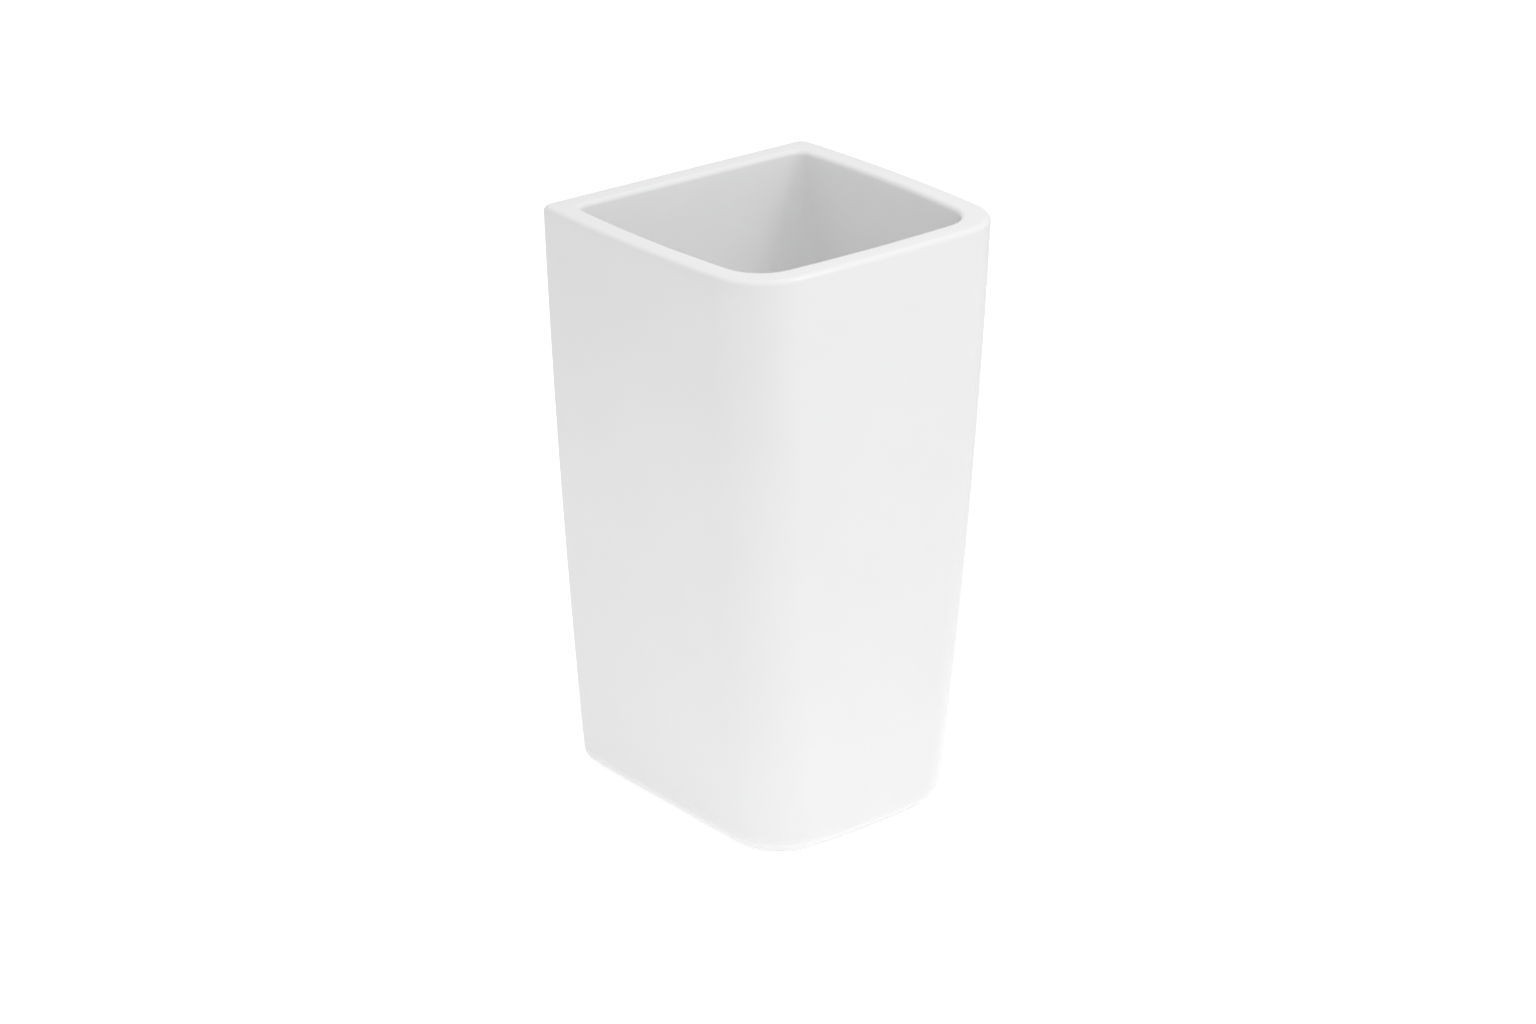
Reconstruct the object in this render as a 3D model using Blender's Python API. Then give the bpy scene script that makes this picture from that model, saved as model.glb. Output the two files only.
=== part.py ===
"""One-piece column washbasin with its click waste and bottle trap.

Metres, +Z up.  The origin is on the floor, midway between the wall face and the front.
+Y is the wall side, -Y the user's side, and the basin is symmetric about X = 0.
"""
from collections import namedtuple
from math import atan2, cos, hypot, pi, radians, sin, sqrt, tan

import bmesh
import bpy

GAP = 0.0003                 # running gap between pieces that touch

# Outer form: a column that is square at the wall, round at the front and narrower at the foot.
HEIGHT = 0.850
DEPTH_RIM = 0.447
DEPTH_FOOT = 0.4265
HALF_BACK_RIM = 0.2294
HALF_BACK_FOOT = 0.1777
HALF_FRONT_RIM = 0.2197
HALF_FRONT_FOOT = 0.1756
SIDE_BOW_RIM = 0.0104
SIDE_BOW_FOOT = 0.0005
FRONT_BOW_RIM = 0.0070
FRONT_BOW_FOOT = 0.0128
FRONT_CORNER_RIM = 0.0827
FRONT_CORNER_FOOT = 0.0904
BACK_CORNER = 0.018
INNER_BACK_CORNER = 0.007
SIDE_CURVE = 0.478           # share of the taper that grows with the square of the drop
FRONT_CURVE = 0.498
RIM_EDGE = 0.0080            # rounding of the rim's outer edge
FOOT_EDGE = 0.034            # rounding where the sides meet the floor
BACK_Y = DEPTH_RIM / 2

# Glazed ware: shell, bowl and foot.
WARE = 0.012
RIM_WIDTH = 0.0355
BOWL_EDGE = 0.0072
BOWL_FRONT_CORNER = 0.0555
BOWL_BACK_CORNER = 0.0160    # at the rim; it widens on the way down
BOWL_BACK_CORNER_LOW = 0.050
BOWL_DRAFT = radians(1.2)
BOWL_COVE = 0.045
COVE_END_Z = 0.616           # where the cove runs out into the bowl's floor
COVE_TOP_Z = COVE_END_Z + BOWL_COVE
RIM_THICKNESS = 0.014
FOOT_WIDTH = 0.060           # from the outer face to the foot ring's inner edge
FOOT_WIDTH_BACK = 0.030

# Waste hole in the bowl's floor.
WASTE_Y = 0.0
FLOOR_Z = 0.610
SEAT_Z = 0.605
PAD_Z = 0.592
HOLE_R = 0.023
SEAT_R = 0.0335
RECESS_R = 0.035
PAD_R = 0.045
PAD_SKIRT_R = 0.050

# Service opening in the back.
OPENING_HALF_WIDTH = 0.100
OPENING_TOP_Z = 0.540
OPENING_CORNER = 0.050
OPENING_REACH = 0.045

# Nuts: half the width across the flats, radius of the corners, radius where the chamfer starts.
Nut = namedtuple("Nut", "flat corner crown")
BACKNUT = Nut(0.0255, 0.0282, 0.0262)
UNION_NUT = Nut(0.0255, 0.0280, 0.0260)
SLIP_NUT = Nut(0.0265, 0.0290, 0.0270)
NUT_CHAMFER = 0.0016         # height of the chamfer on a nut's corners

# Waste, 1 1/4 inch, with what seals it in the bowl.
WASTE_TUBE_R = 0.0208
WASTE_HOLE_R = WASTE_TUBE_R + GAP
WASTE_BORE_R = 0.0180
WASTE_END_Z = 0.520
FLANGE_SEAL = 0.0015
FLANGE_SEAL_R = 0.0290
FLANGE_R = 0.0315
FLANGE = 0.0025
FLANGE_UNDER_Z = SEAT_Z + FLANGE_SEAL + 2 * GAP
FLANGE_TOP_Z = FLANGE_UNDER_Z + FLANGE
FLANGE_EDGE = 0.0010         # bevel of the flange's outer edge
FLANGE_FLAT = 0.0030         # width of the flange's outer edge, from where it falls to the throat
THROAT_DEPTH = 0.0045
UNDER_SEAL = 0.0060
UNDER_SEAL_R = 0.0320
SLIP_WASHER = 0.0015
SLIP_WASHER_R = 0.0300
BACKNUT_HEIGHT = 0.0080
BACKNUT_COLLAR = 0.0018
BACKNUT_COLLAR_R = 0.0295
BRIDGE_TOP_Z = 0.585
BRIDGE_BOTTOM_Z = 0.575
BRIDGE_HUB_R = 0.0105
BRIDGE_SPOKES = 3
BRIDGE_SPOKE_HALF_ANGLE = radians(14)

# Click cartridge in the bridge, and the plug that it holds.
CARTRIDGE_R = 0.0075
CARTRIDGE_BORE_R = 0.0050
CARTRIDGE_TOP_Z = 0.598
CARTRIDGE_BOTTOM_Z = 0.560
CARTRIDGE_FLOOR_Z = CARTRIDGE_BOTTOM_Z + 0.003
CARTRIDGE_CAP = 0.0035
CARTRIDGE_CHAMFER = 0.0010
CARTRIDGE_MOUTH_Z = CARTRIDGE_TOP_Z - CARTRIDGE_CAP - GAP
CARTRIDGE_COLLAR = 0.0030
CARTRIDGE_COLLAR_FLAT = 0.0088
CARTRIDGE_COLLAR_CORNER = 0.0098
STEM_R = 0.0030
STEM_POINT = 0.0005          # bevel of the stem's top
STEM_HEAD_R = 0.0046
STEM_HEAD = 0.0040
SPRING_WIRE_R = 0.0004
SPRING_TURNS = 9
SPRING_CLOSING = 0.55        # 0 for an even pitch, 1 for end turns that lie flat
PLUG_LIFT = 0.008            # height of the open plug above its closed place
PLUG_CLEARANCE = 0.0010      # under the closed plug
PLUG_R = 0.0320
PLUG_HEIGHT = 0.0062
PLUG_SHOULDER_R = 0.0310     # where the dome meets the plug's round edge
PLUG_FALL = 0.0038           # from the middle of the dome to its shoulder
PLUG_FLATNESS = 2.8          # power of the dome's curve: 2 is a parabola, more is flatter in the middle
PLUG_UNDER_R = 0.0314
PLUG_BOSS_R = 0.0075
PLUG_BOSS = 0.010
PLUG_SOCKET_TOP = 0.0010     # how far the stem's socket ends below the plug's underside
PLUG_SEAL = 0.0020
PLUG_SEAL_R = 0.0225

# Trap, 32 mm tube.
TUBE_R = 0.0160
TUBE_BORE_R = 0.0147
TUBE_HOLE_R = TUBE_R + GAP
TUBE_RIM_R = 0.0198
TUBE_RIM = 0.0020
UNION_WASHER = 0.0025
UNION_WASHER_R = 0.0200
UNION_NUT_TOP_Z = 0.536
UNION_NUT_LIP = 0.0040
UNION_NUT_END = 0.0030       # height of the turned stretch at each end of the union nut
UNION_NUT_TOP_R = 0.0235
UNION_NUT_LOW_R = 0.0215
SOCKET_R = 0.0215
SLIP_NUT_HEIGHT = 0.020
SLIP_NUT_LIP = 0.003
SLIP_NUT_CROWN = 0.0024      # height of the turned crown over the slip nut's flats
SLIP_NUT_TOP_R = 0.0205
CONE = 0.0058
CONE_STRAIGHT = 0.0028       # height of the cone washer's cylindrical part
CONE_R = 0.0210
CONE_POINT_R = 0.0190
DIP_END_Z = 0.350
TRAP_R = 0.0310
TRAP_WALL = 0.0020
TRAP_TOP_Z = 0.468
TRAP_BOTTOM_Z = 0.402
TRAP_SHOULDER = 0.008        # height of the drum's domed top
SOCKET_TOP_Z = 0.481
CUP_R = 0.0330
CUP_WALL = 0.0020
CUP_FLOOR = 0.0030
CUP_BOTTOM_Z = 0.322
CUP_STEP = 0.0010            # by which the grip stands proud of the cup
CUP_GRIP_Z = CUP_BOTTOM_Z + 0.061
CUP_SEAL = 0.0035
CUP_NECK = 0.010             # how far the cup's neck reaches up into the drum
CUP_EDGE = 0.008             # height of the rounding under the cup
OUTLET_Z = 0.437
STUB_END_Y = 0.052
STUB_BORE_START = 0.010
OUTLET_INSERT = 0.014        # how far the outlet pipe reaches into the stub
ROSETTE_R = 0.035
ROSETTE_NECK_R = 0.0205
ROSETTE_DEPTH = 0.015
ROSETTE_SHEET = 0.001

ROUND = 32                   # facets round a pipe or a ring
SMALL_ROUND = 24             # facets round a pin or a cartridge
NUT_ROUND = 36               # facets round a nut, six along each flat
SPRING_ROUND = 11            # points along each turn of the spring

Plan = namedtuple("Plan", "half_back half_front side_bow depth front_bow front_corner back_corner back_y")


# ---------------------------------------------------------------- scene and materials

def clear_scene():
    for obj in list(bpy.data.objects):
        bpy.data.objects.remove(obj, do_unlink=True)


def make_material(name, colour, roughness, metallic=0.0):
    material = bpy.data.materials.new(name)
    material.use_nodes = True
    shader = material.node_tree.nodes["Principled BSDF"]
    shader.inputs["Base Color"].default_value = (*colour, 1.0)
    shader.inputs["Roughness"].default_value = roughness
    shader.inputs["Metallic"].default_value = metallic
    return material


FINISHES = {
    "ware": ((0.80, 0.80, 0.80), 0.10, 0.0),
    "chrome": ((0.80, 0.81, 0.82), 0.08, 1.0),
    "brass": ((0.72, 0.55, 0.28), 0.28, 1.0),
    "steel": ((0.62, 0.62, 0.63), 0.25, 1.0),
    "rubber": ((0.03, 0.03, 0.03), 0.65, 0.0),
    "plastic": ((0.82, 0.82, 0.80), 0.45, 0.0),
}


def finish(node, kind):
    """Each sub-part has a material of its own, named after it."""
    colour, roughness, metallic = FINISHES[kind]
    return make_material(f"{node}_{kind}", colour, roughness, metallic)


# ---------------------------------------------------------------- mesh helpers

def add_object(name, mesh, kind, smooth_angle=35.0):
    obj = bpy.data.objects.new(name, mesh)
    bpy.context.scene.collection.objects.link(obj)
    mesh.shade_smooth()
    mesh.set_sharp_from_angle(angle=radians(smooth_angle))
    if kind:
        mesh.materials.append(finish(name, kind))
    return obj


def loft(name, rings, ends="joined"):
    """Skin a list of rings.  A ring is a list of points, or one point on the axis.

    The two ends are "joined" to each other, as on a tube with a wall, "capped" with a flat
    face each, or left as they are: "points" on the axis.
    """
    bm = bmesh.new()
    loops = [[bm.verts.new(point) for point in ring] for ring in rings]
    pairs = list(zip(loops, loops[1:]))
    if ends == "joined":
        pairs.append((loops[-1], loops[0]))
    for lower, upper in pairs:
        skin(bm, lower, upper)
    if ends == "capped":
        bm.faces.new(loops[0])
        bm.faces.new(loops[-1])
    bmesh.ops.recalc_face_normals(bm, faces=bm.faces)
    mesh = bpy.data.meshes.new(name)
    bm.to_mesh(mesh)
    bm.free()
    return mesh


def skin(bm, lower, upper):
    count = max(len(lower), len(upper))
    for i in range(count):
        j = (i + 1) % count
        if len(lower) == 1:
            bm.faces.new((lower[0], upper[j], upper[i]))
        elif len(upper) == 1:
            bm.faces.new((lower[i], lower[j], upper[0]))
        else:
            bm.faces.new((lower[i], lower[j], upper[j], upper[i]))


def circle(radius, z, segments):
    """A ring round the Z axis; a radius of zero gives the single point on the axis."""
    if radius == 0:
        return [(0.0, 0.0, z)]
    size = radius if callable(radius) else (lambda angle: radius)
    angles = [2 * pi * i / segments for i in range(segments)]
    return [(size(a) * cos(a), size(a) * sin(a), z) for a in angles]


def turned(name, profile, kind, segments=ROUND, ends="joined"):
    """A piece turned from a closed profile of (radius, z) points, or of "points" from axis to axis."""
    rings = [circle(radius, z, segments) for radius, z in profile]
    return add_object(name, loft(name, rings, ends), kind)


def washer(name, inner, outer, bottom, top, kind, segments=ROUND):
    return turned(name, [(inner, bottom), (outer, bottom), (outer, top), (inner, top)], kind, segments)


def hexagon(apothem, limit):
    """Radius of a hexagon with its corners turned down to a circle."""
    def radius(angle):
        off_centre = (angle % (pi / 3)) - pi / 6
        return min(apothem / cos(off_centre), limit)
    return radius


def nut_rings(nut):
    """The outlines of a nut's flats and of its chamfered ends."""
    return hexagon(nut.flat, nut.corner), hexagon(nut.flat, nut.crown)


def prism(name, outline, low, high):
    """A cutter: an outline of (x, y) points extruded along Z."""
    rings = [at_height(outline, z) for z in (low, high)]
    return as_cutter(add_object(name, loft(name, rings, "capped"), None))


def as_cutter(obj):
    obj.hide_render = True
    obj.display_type = "WIRE"
    return obj


def combine(obj, cutter, operation):
    modifier = obj.modifiers.new(cutter.name, "BOOLEAN")
    modifier.operation = operation
    modifier.solver = "EXACT"
    modifier.object = cutter


def point_along_y(obj, y, z):
    """Turn a piece made along local Z so that it runs towards the wall from (0, y, z)."""
    obj.rotation_euler = (-pi / 2, 0.0, 0.0)
    obj.location = (0.0, y, z)
    return obj


# ---------------------------------------------------------------- plan outline

def polar(centre, radius, angle):
    return centre[0] + radius * cos(angle), centre[1] + radius * sin(angle)


def steps(start, end, count):
    """Evenly spaced values, both ends included."""
    return [start + (end - start) * i / count for i in range(count + 1)]


def arc(centre, radius, start, end, count):
    """Points on an arc, without its first one."""
    return [polar(centre, radius, angle) for angle in steps(start, end, count)[1:]]


def bearing(centre, point):
    return atan2(point[1] - centre[1], point[0] - centre[0])


def side_circle(plan, front_y):
    """The circle of the bowed side, through its back and front ends."""
    back, front = (plan.half_back, plan.back_y), (plan.half_front, front_y)
    dx, dy = front[0] - back[0], front[1] - back[1]
    chord = hypot(dx, dy)
    radius = (chord ** 2 / 4 + plan.side_bow ** 2) / (2 * plan.side_bow)
    pull = (radius - plan.side_bow) / chord
    centre = ((back[0] + front[0]) / 2 + dy * pull, (back[1] + front[1]) / 2 - dx * pull)
    return centre, radius


def front_circle(plan, front_y):
    """The circle of the bowed front, with its foremost point on the centre line."""
    radius = (plan.half_front ** 2 + plan.front_bow ** 2) / (2 * plan.front_bow)
    return (0.0, front_y + radius), radius


def corner_centre(side, side_r, front, front_r, corner_r):
    """Centre of the front corner's arc, which lies inside both circles and touches them."""
    to_side, to_front = side_r - corner_r, front_r - corner_r
    dx, dy = front[0] - side[0], front[1] - side[1]
    span = hypot(dx, dy)
    along = (to_side ** 2 - to_front ** 2 + span ** 2) / (2 * span)
    across = sqrt(to_side ** 2 - along ** 2)
    ux, uy = dx / span, dy / span
    choices = [(side[0] + along * ux - sign * across * uy, side[1] + along * uy + sign * across * ux)
               for sign in (-1, 1)]
    return min(choices, key=lambda point: point[1])


def outline(plan, counts=(3, 4, 6, 7, 4)):
    """A closed ring of (x, y) points, from the middle of the back round by +X to the front and home."""
    on_back, on_back_corner, on_side, on_corner, on_front = counts
    front_y = BACK_Y - plan.depth
    side, side_r = side_circle(plan, front_y)
    front, front_r = front_circle(plan, front_y)
    corner = corner_centre(side, side_r, front, front_r, plan.front_corner)
    back_corner_y = plan.back_y - plan.back_corner
    reach = side_r - plan.back_corner
    back_corner_x = side[0] + sqrt(reach ** 2 - (back_corner_y - side[1]) ** 2)
    back_corner = (back_corner_x, back_corner_y)
    side_start = bearing(side, back_corner)
    side_end = bearing(side, corner)
    front_start = bearing(front, corner)
    points = [(back_corner_x * i / on_back, plan.back_y) for i in range(on_back + 1)]
    points += arc(back_corner, plan.back_corner, pi / 2, side_start, on_back_corner)
    points += arc(side, side_r, side_start, side_end, on_side)
    points += arc(corner, plan.front_corner, side_end, front_start, on_corner)
    points += arc(front, front_r, front_start, -pi / 2, on_front)
    mirrored = [(-x, y) for x, y in reversed(points[1:-1])]
    return points + mirrored


def mix(top, foot, share):
    return top + (foot - top) * share


def shell_plan(z, inset=0.0, back_inset=0.0, back_corner=BACK_CORNER):
    """Plan of the outer face at a height, or of a face set in from it."""
    drop = 1 - z / HEIGHT
    side = (1 - SIDE_CURVE) * drop + SIDE_CURVE * drop ** 2
    front = (1 - FRONT_CURVE) * drop + FRONT_CURVE * drop ** 2
    return Plan(
        half_back=mix(HALF_BACK_RIM, HALF_BACK_FOOT, side) - inset,
        half_front=mix(HALF_FRONT_RIM, HALF_FRONT_FOOT, side) - inset,
        side_bow=mix(SIDE_BOW_RIM, SIDE_BOW_FOOT, side),
        depth=mix(DEPTH_RIM, DEPTH_FOOT, front) - inset,
        front_bow=mix(FRONT_BOW_RIM, FRONT_BOW_FOOT, front),
        front_corner=mix(FRONT_CORNER_RIM, FRONT_CORNER_FOOT, side) - inset,
        back_corner=back_corner,
        back_y=BACK_Y - back_inset,
    )


def bowl_plan(inset, front_corner, back_corner):
    """Plan of the bowl, set in from the rim's outer edge on all sides."""
    return Plan(
        half_back=HALF_BACK_RIM - inset,
        half_front=HALF_FRONT_RIM - inset,
        side_bow=SIDE_BOW_RIM,
        depth=DEPTH_RIM - inset,
        front_bow=FRONT_BOW_RIM,
        front_corner=front_corner,
        back_corner=back_corner,
        back_y=BACK_Y - inset,
    )


def at_height(points, z):
    return [(x, y, z) for x, y in points]


def round_waste(points, radius):
    """A circle round the waste whose points lie in the same directions as those of an outline."""
    middle = (0.0, WASTE_Y)
    angles = [bearing(middle, point) for point in points]
    return [(radius * cos(a), WASTE_Y + radius * sin(a)) for a in angles]


def between(inner, outer, share):
    return [(mix(a, c, share), mix(b, d, share)) for (a, b), (c, d) in zip(inner, outer)]


# ---------------------------------------------------------------- basin

def bowl_inset(z):
    return RIM_WIDTH + (HEIGHT - z) * tan(BOWL_DRAFT)


def bowl_wall(z, skin_out=0.0, grow=0.0):
    """Plan of the bowl's wall at a height.  grow opens it towards the rim's flat."""
    share = (HEIGHT - z) / (HEIGHT - COVE_TOP_Z)
    back_corner = mix(BOWL_BACK_CORNER, BOWL_BACK_CORNER_LOW, share)
    inset = bowl_inset(z) - skin_out - grow
    return bowl_plan(inset, BOWL_FRONT_CORNER + skin_out + grow, back_corner + skin_out + grow)


def cove_ring(turn, radius, skin_out):
    """One ring of the cove.  skin_out is 0 on the bowl's face and WARE on its underside."""
    set_in = bowl_inset(COVE_TOP_Z) + BOWL_COVE - radius * cos(turn)
    z = COVE_TOP_Z - radius * sin(turn)
    shrink = BOWL_COVE * (1 - cos(turn))
    front = BOWL_FRONT_CORNER + skin_out - shrink / 2
    back = BOWL_BACK_CORNER_LOW + skin_out - shrink / 3
    return at_height(outline(bowl_plan(set_in, front, back)), z)


def bowl_floor(edge_ring, circle_r, circle_z, count):
    """Rings from the circle round the waste out to, but not including, the cove."""
    edge = [(x, y) for x, y, z in edge_ring]
    edge_z = edge_ring[0][2]
    inner = round_waste(edge, circle_r)
    return [at_height(between(inner, edge, share), mix(circle_z, edge_z, share))
            for share in steps(0.0, 1.0, count)[:-1]]


def bowl_face():
    """Rings from the waste hole up the bowl to the flat of the rim."""
    cove = [cove_ring(turn, BOWL_COVE, 0.0) for turn in steps(pi / 2, 0.0, 5)]
    directions = [(x, y) for x, y, z in cove[0]]
    rings = [at_height(round_waste(directions, HOLE_R), PAD_Z),
             at_height(round_waste(directions, HOLE_R), SEAT_Z),
             at_height(round_waste(directions, SEAT_R), SEAT_Z)]
    rings += bowl_floor(cove[0], RECESS_R, FLOOR_Z, 3)
    rings += cove
    for z in steps(COVE_TOP_Z, HEIGHT - BOWL_EDGE, 3)[1:]:
        rings.append(at_height(outline(bowl_wall(z)), z))
    for turn in steps(0.0, pi / 2, 3)[1:]:
        z = HEIGHT - BOWL_EDGE * (1 - sin(turn))
        rings.append(at_height(outline(bowl_wall(z, grow=BOWL_EDGE * (1 - cos(turn)))), z))
    return rings


def outer_face():
    """Rings from the rim's outer edge down the column to the foot ring."""
    rings = []
    for turn in steps(0.0, pi / 2, 3):
        inset = RIM_EDGE * (1 - sin(turn))
        z = HEIGHT - RIM_EDGE * (1 - cos(turn))
        rings.append(at_height(outline(shell_plan(z, inset, inset, BACK_CORNER - inset)), z))
    for z in steps(HEIGHT - RIM_EDGE, FOOT_EDGE, 8)[1:]:
        rings.append(at_height(outline(shell_plan(z)), z))
    for turn in steps(0.0, pi / 2, 4)[1:]:
        z = FOOT_EDGE * (1 - sin(turn))
        rings.append(at_height(outline(shell_plan(z, FOOT_EDGE * (1 - cos(turn)))), z))
    return rings


def inner_face():
    """Rings from the foot ring up inside the shell, over under the rim, and down round the bowl."""
    foot = outline(shell_plan(0.0, FOOT_WIDTH, FOOT_WIDTH_BACK, INNER_BACK_CORNER))
    rings = [at_height(foot, 0.0), at_height(foot, WARE)]
    for turn in steps(pi / 2, 0.0, 3):
        inset = FOOT_EDGE - (FOOT_EDGE - WARE) * cos(turn)
        z = FOOT_EDGE - (FOOT_EDGE - WARE) * sin(turn)
        rings.append(at_height(outline(shell_plan(z, inset, WARE, INNER_BACK_CORNER)), z))
    roof_z = HEIGHT - RIM_THICKNESS
    for z in steps(FOOT_EDGE, roof_z, 5)[1:]:
        rings.append(at_height(outline(shell_plan(z, WARE, WARE, INNER_BACK_CORNER)), z))
    for z in steps(roof_z, COVE_TOP_Z, 2)[:-1]:
        rings.append(at_height(outline(bowl_wall(z, WARE)), z))
    under = [cove_ring(turn, BOWL_COVE + WARE, WARE) for turn in steps(0.0, pi / 2, 4)]
    rings += under
    rings += reversed(bowl_floor(under[-1], PAD_SKIRT_R, PAD_Z + WARE / 2, 2))
    directions = [(x, y) for x, y, z in under[-1]]
    rings.append(at_height(round_waste(directions, PAD_R), PAD_Z))
    return rings


def service_cutter():
    """An arched block that opens the back from the floor to below the bowl."""
    half, corner = OPENING_HALF_WIDTH, OPENING_CORNER
    shoulder = OPENING_TOP_Z - corner
    points = [(half, -WARE), (half, shoulder)]
    points += arc((half - corner, shoulder), corner, 0.0, pi / 2, 6)
    points += [(-x, z) for x, z in reversed(points)]
    cutter = prism("service_opening_cutter", points, -BACK_Y - WARE, OPENING_REACH - BACK_Y)
    cutter.rotation_euler = (pi / 2, 0.0, 0.0)
    return cutter


def build_basin():
    rings = bowl_face() + outer_face() + inner_face()
    basin = add_object("basin_body", loft("basin_body", rings), "ware", smooth_angle=28.0)
    combine(basin, service_cutter(), "DIFFERENCE")


# ---------------------------------------------------------------- waste and plug

def build_waste_body():
    """Flange, threaded tube and the bridge that carries the cartridge, in one casting."""
    bore, hub_bore = WASTE_BORE_R, CARTRIDGE_R + GAP
    profile = [
        (WASTE_TUBE_R, WASTE_END_Z), (WASTE_TUBE_R, FLANGE_UNDER_Z), (FLANGE_R, FLANGE_UNDER_Z),
        (FLANGE_R, FLANGE_TOP_Z - FLANGE_EDGE), (FLANGE_R - FLANGE_EDGE, FLANGE_TOP_Z),
        (FLANGE_R - FLANGE_FLAT, FLANGE_TOP_Z), (bore + FLANGE_EDGE, FLANGE_TOP_Z - FLANGE),
        (bore, FLANGE_TOP_Z - THROAT_DEPTH), (bore, BRIDGE_TOP_Z), (hub_bore, BRIDGE_TOP_Z),
        (hub_bore, BRIDGE_BOTTOM_Z), (bore, BRIDGE_BOTTOM_Z), (bore, WASTE_END_Z),
    ]
    body = turned("waste_body", profile, "chrome")
    for number in range(BRIDGE_SPOKES):
        window = bridge_window(number)
        cutter = prism(f"bridge_cutter_{number}", window, BRIDGE_BOTTOM_Z - 2 * GAP, BRIDGE_TOP_Z + 2 * GAP)
        combine(body, cutter, "DIFFERENCE")


def bridge_window(number):
    """Outline of one of the openings that let the water past the bridge's spokes."""
    axis, pitch = (0.0, 0.0), 2 * pi / BRIDGE_SPOKES
    start = pitch * number + BRIDGE_SPOKE_HALF_ANGLE
    end = pitch * (number + 1) - BRIDGE_SPOKE_HALF_ANGLE
    outer_r = WASTE_BORE_R - 2 * GAP
    outer = [polar(axis, outer_r, start)] + arc(axis, outer_r, start, end, 7)
    inner = [polar(axis, BRIDGE_HUB_R, end)] + arc(axis, BRIDGE_HUB_R, end, start, 5)
    return outer + inner


def build_waste_seals():
    """The ring under the flange; below the ware the seal, its washer and the nut that presses them."""
    bore = WASTE_HOLE_R
    ring_low = SEAT_Z + GAP
    washer("flange_seal", bore, FLANGE_SEAL_R, ring_low, ring_low + FLANGE_SEAL, "rubber")
    seal_top = PAD_Z - GAP
    seal_low = seal_top - UNDER_SEAL
    turned("under_seal", [
        (bore, seal_top), (bore, seal_low), (SLIP_WASHER_R, seal_low),
        (UNDER_SEAL_R, seal_top - UNDER_SEAL / 2), (UNDER_SEAL_R, seal_top),
    ], "rubber")
    washer_top = seal_low - GAP
    washer_low = washer_top - SLIP_WASHER
    washer("slip_washer", bore, SLIP_WASHER_R, washer_low, washer_top, "plastic")
    nut_top = washer_low - GAP
    nut_low, collar_low = nut_top - BACKNUT_HEIGHT, nut_top - BACKNUT_COLLAR
    flats, crown = nut_rings(BACKNUT)
    turned("waste_backnut", [
        (bore, nut_low), (crown, nut_low), (flats, nut_low + NUT_CHAMFER), (flats, collar_low),
        (BACKNUT_COLLAR_R, collar_low), (BACKNUT_COLLAR_R, nut_top), (bore, nut_top),
    ], "brass", NUT_ROUND)


def build_cartridge():
    """Brass barrel with a hexagonal collar on the bridge, and the plastic cap in its mouth."""
    collar_low = BRIDGE_TOP_Z + GAP
    collar_top = collar_low + CARTRIDGE_COLLAR
    collar = hexagon(CARTRIDGE_COLLAR_FLAT, CARTRIDGE_COLLAR_CORNER)
    turned("cartridge_body", [
        (0, CARTRIDGE_BOTTOM_Z), (CARTRIDGE_R - CARTRIDGE_CHAMFER, CARTRIDGE_BOTTOM_Z),
        (CARTRIDGE_R, CARTRIDGE_BOTTOM_Z + CARTRIDGE_CHAMFER), (CARTRIDGE_R, collar_low),
        (collar, collar_low), (collar, collar_top), (CARTRIDGE_R, collar_top),
        (CARTRIDGE_R, CARTRIDGE_MOUTH_Z), (CARTRIDGE_BORE_R, CARTRIDGE_MOUTH_Z),
        (CARTRIDGE_BORE_R, CARTRIDGE_FLOOR_Z), (0, CARTRIDGE_FLOOR_Z),
    ], "brass", SMALL_ROUND, ends="points")
    washer("cartridge_cap", STEM_R + GAP, CARTRIDGE_R, CARTRIDGE_MOUTH_Z + GAP, CARTRIDGE_TOP_Z, "plastic",
           SMALL_ROUND)


def spring_point(turn, radius, low, high):
    """A point on the spring's wire; its first and last turns lie close, as on a closed end."""
    share = turn / SPRING_TURNS
    eased = share - sin(2 * pi * share) / (2 * pi) * SPRING_CLOSING
    return (*polar((0.0, 0.0), radius, 2 * pi * turn), low + (high - low) * eased)


def build_spring(low, high):
    radius = CARTRIDGE_BORE_R - SPRING_WIRE_R - 2 * GAP
    curve = bpy.data.curves.new("click_spring", "CURVE")
    curve.dimensions = "3D"
    curve.bevel_depth = SPRING_WIRE_R
    curve.bevel_resolution = 1
    curve.use_fill_caps = True
    count = SPRING_TURNS * SPRING_ROUND + 1
    spline = curve.splines.new("POLY")
    spline.points.add(count - 1)
    for index in range(count):
        point = spring_point(index / SPRING_ROUND, radius, low + SPRING_WIRE_R, high - SPRING_WIRE_R)
        spline.points[index].co = (*point, 1.0)
    curve.materials.append(finish("click_spring", "steel"))
    spring = bpy.data.objects.new("click_spring", curve)
    bpy.context.scene.collection.objects.link(spring)


def plug_dome(under):
    """Profile of the plug's top, from the axis to the shoulder: nearly flat, then falling away."""
    top = under + PLUG_HEIGHT
    radii = steps(0.0, PLUG_SHOULDER_R, 4)
    return [(radius, top - PLUG_FALL * (radius / PLUG_SHOULDER_R) ** PLUG_FLATNESS) for radius in radii]


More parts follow.
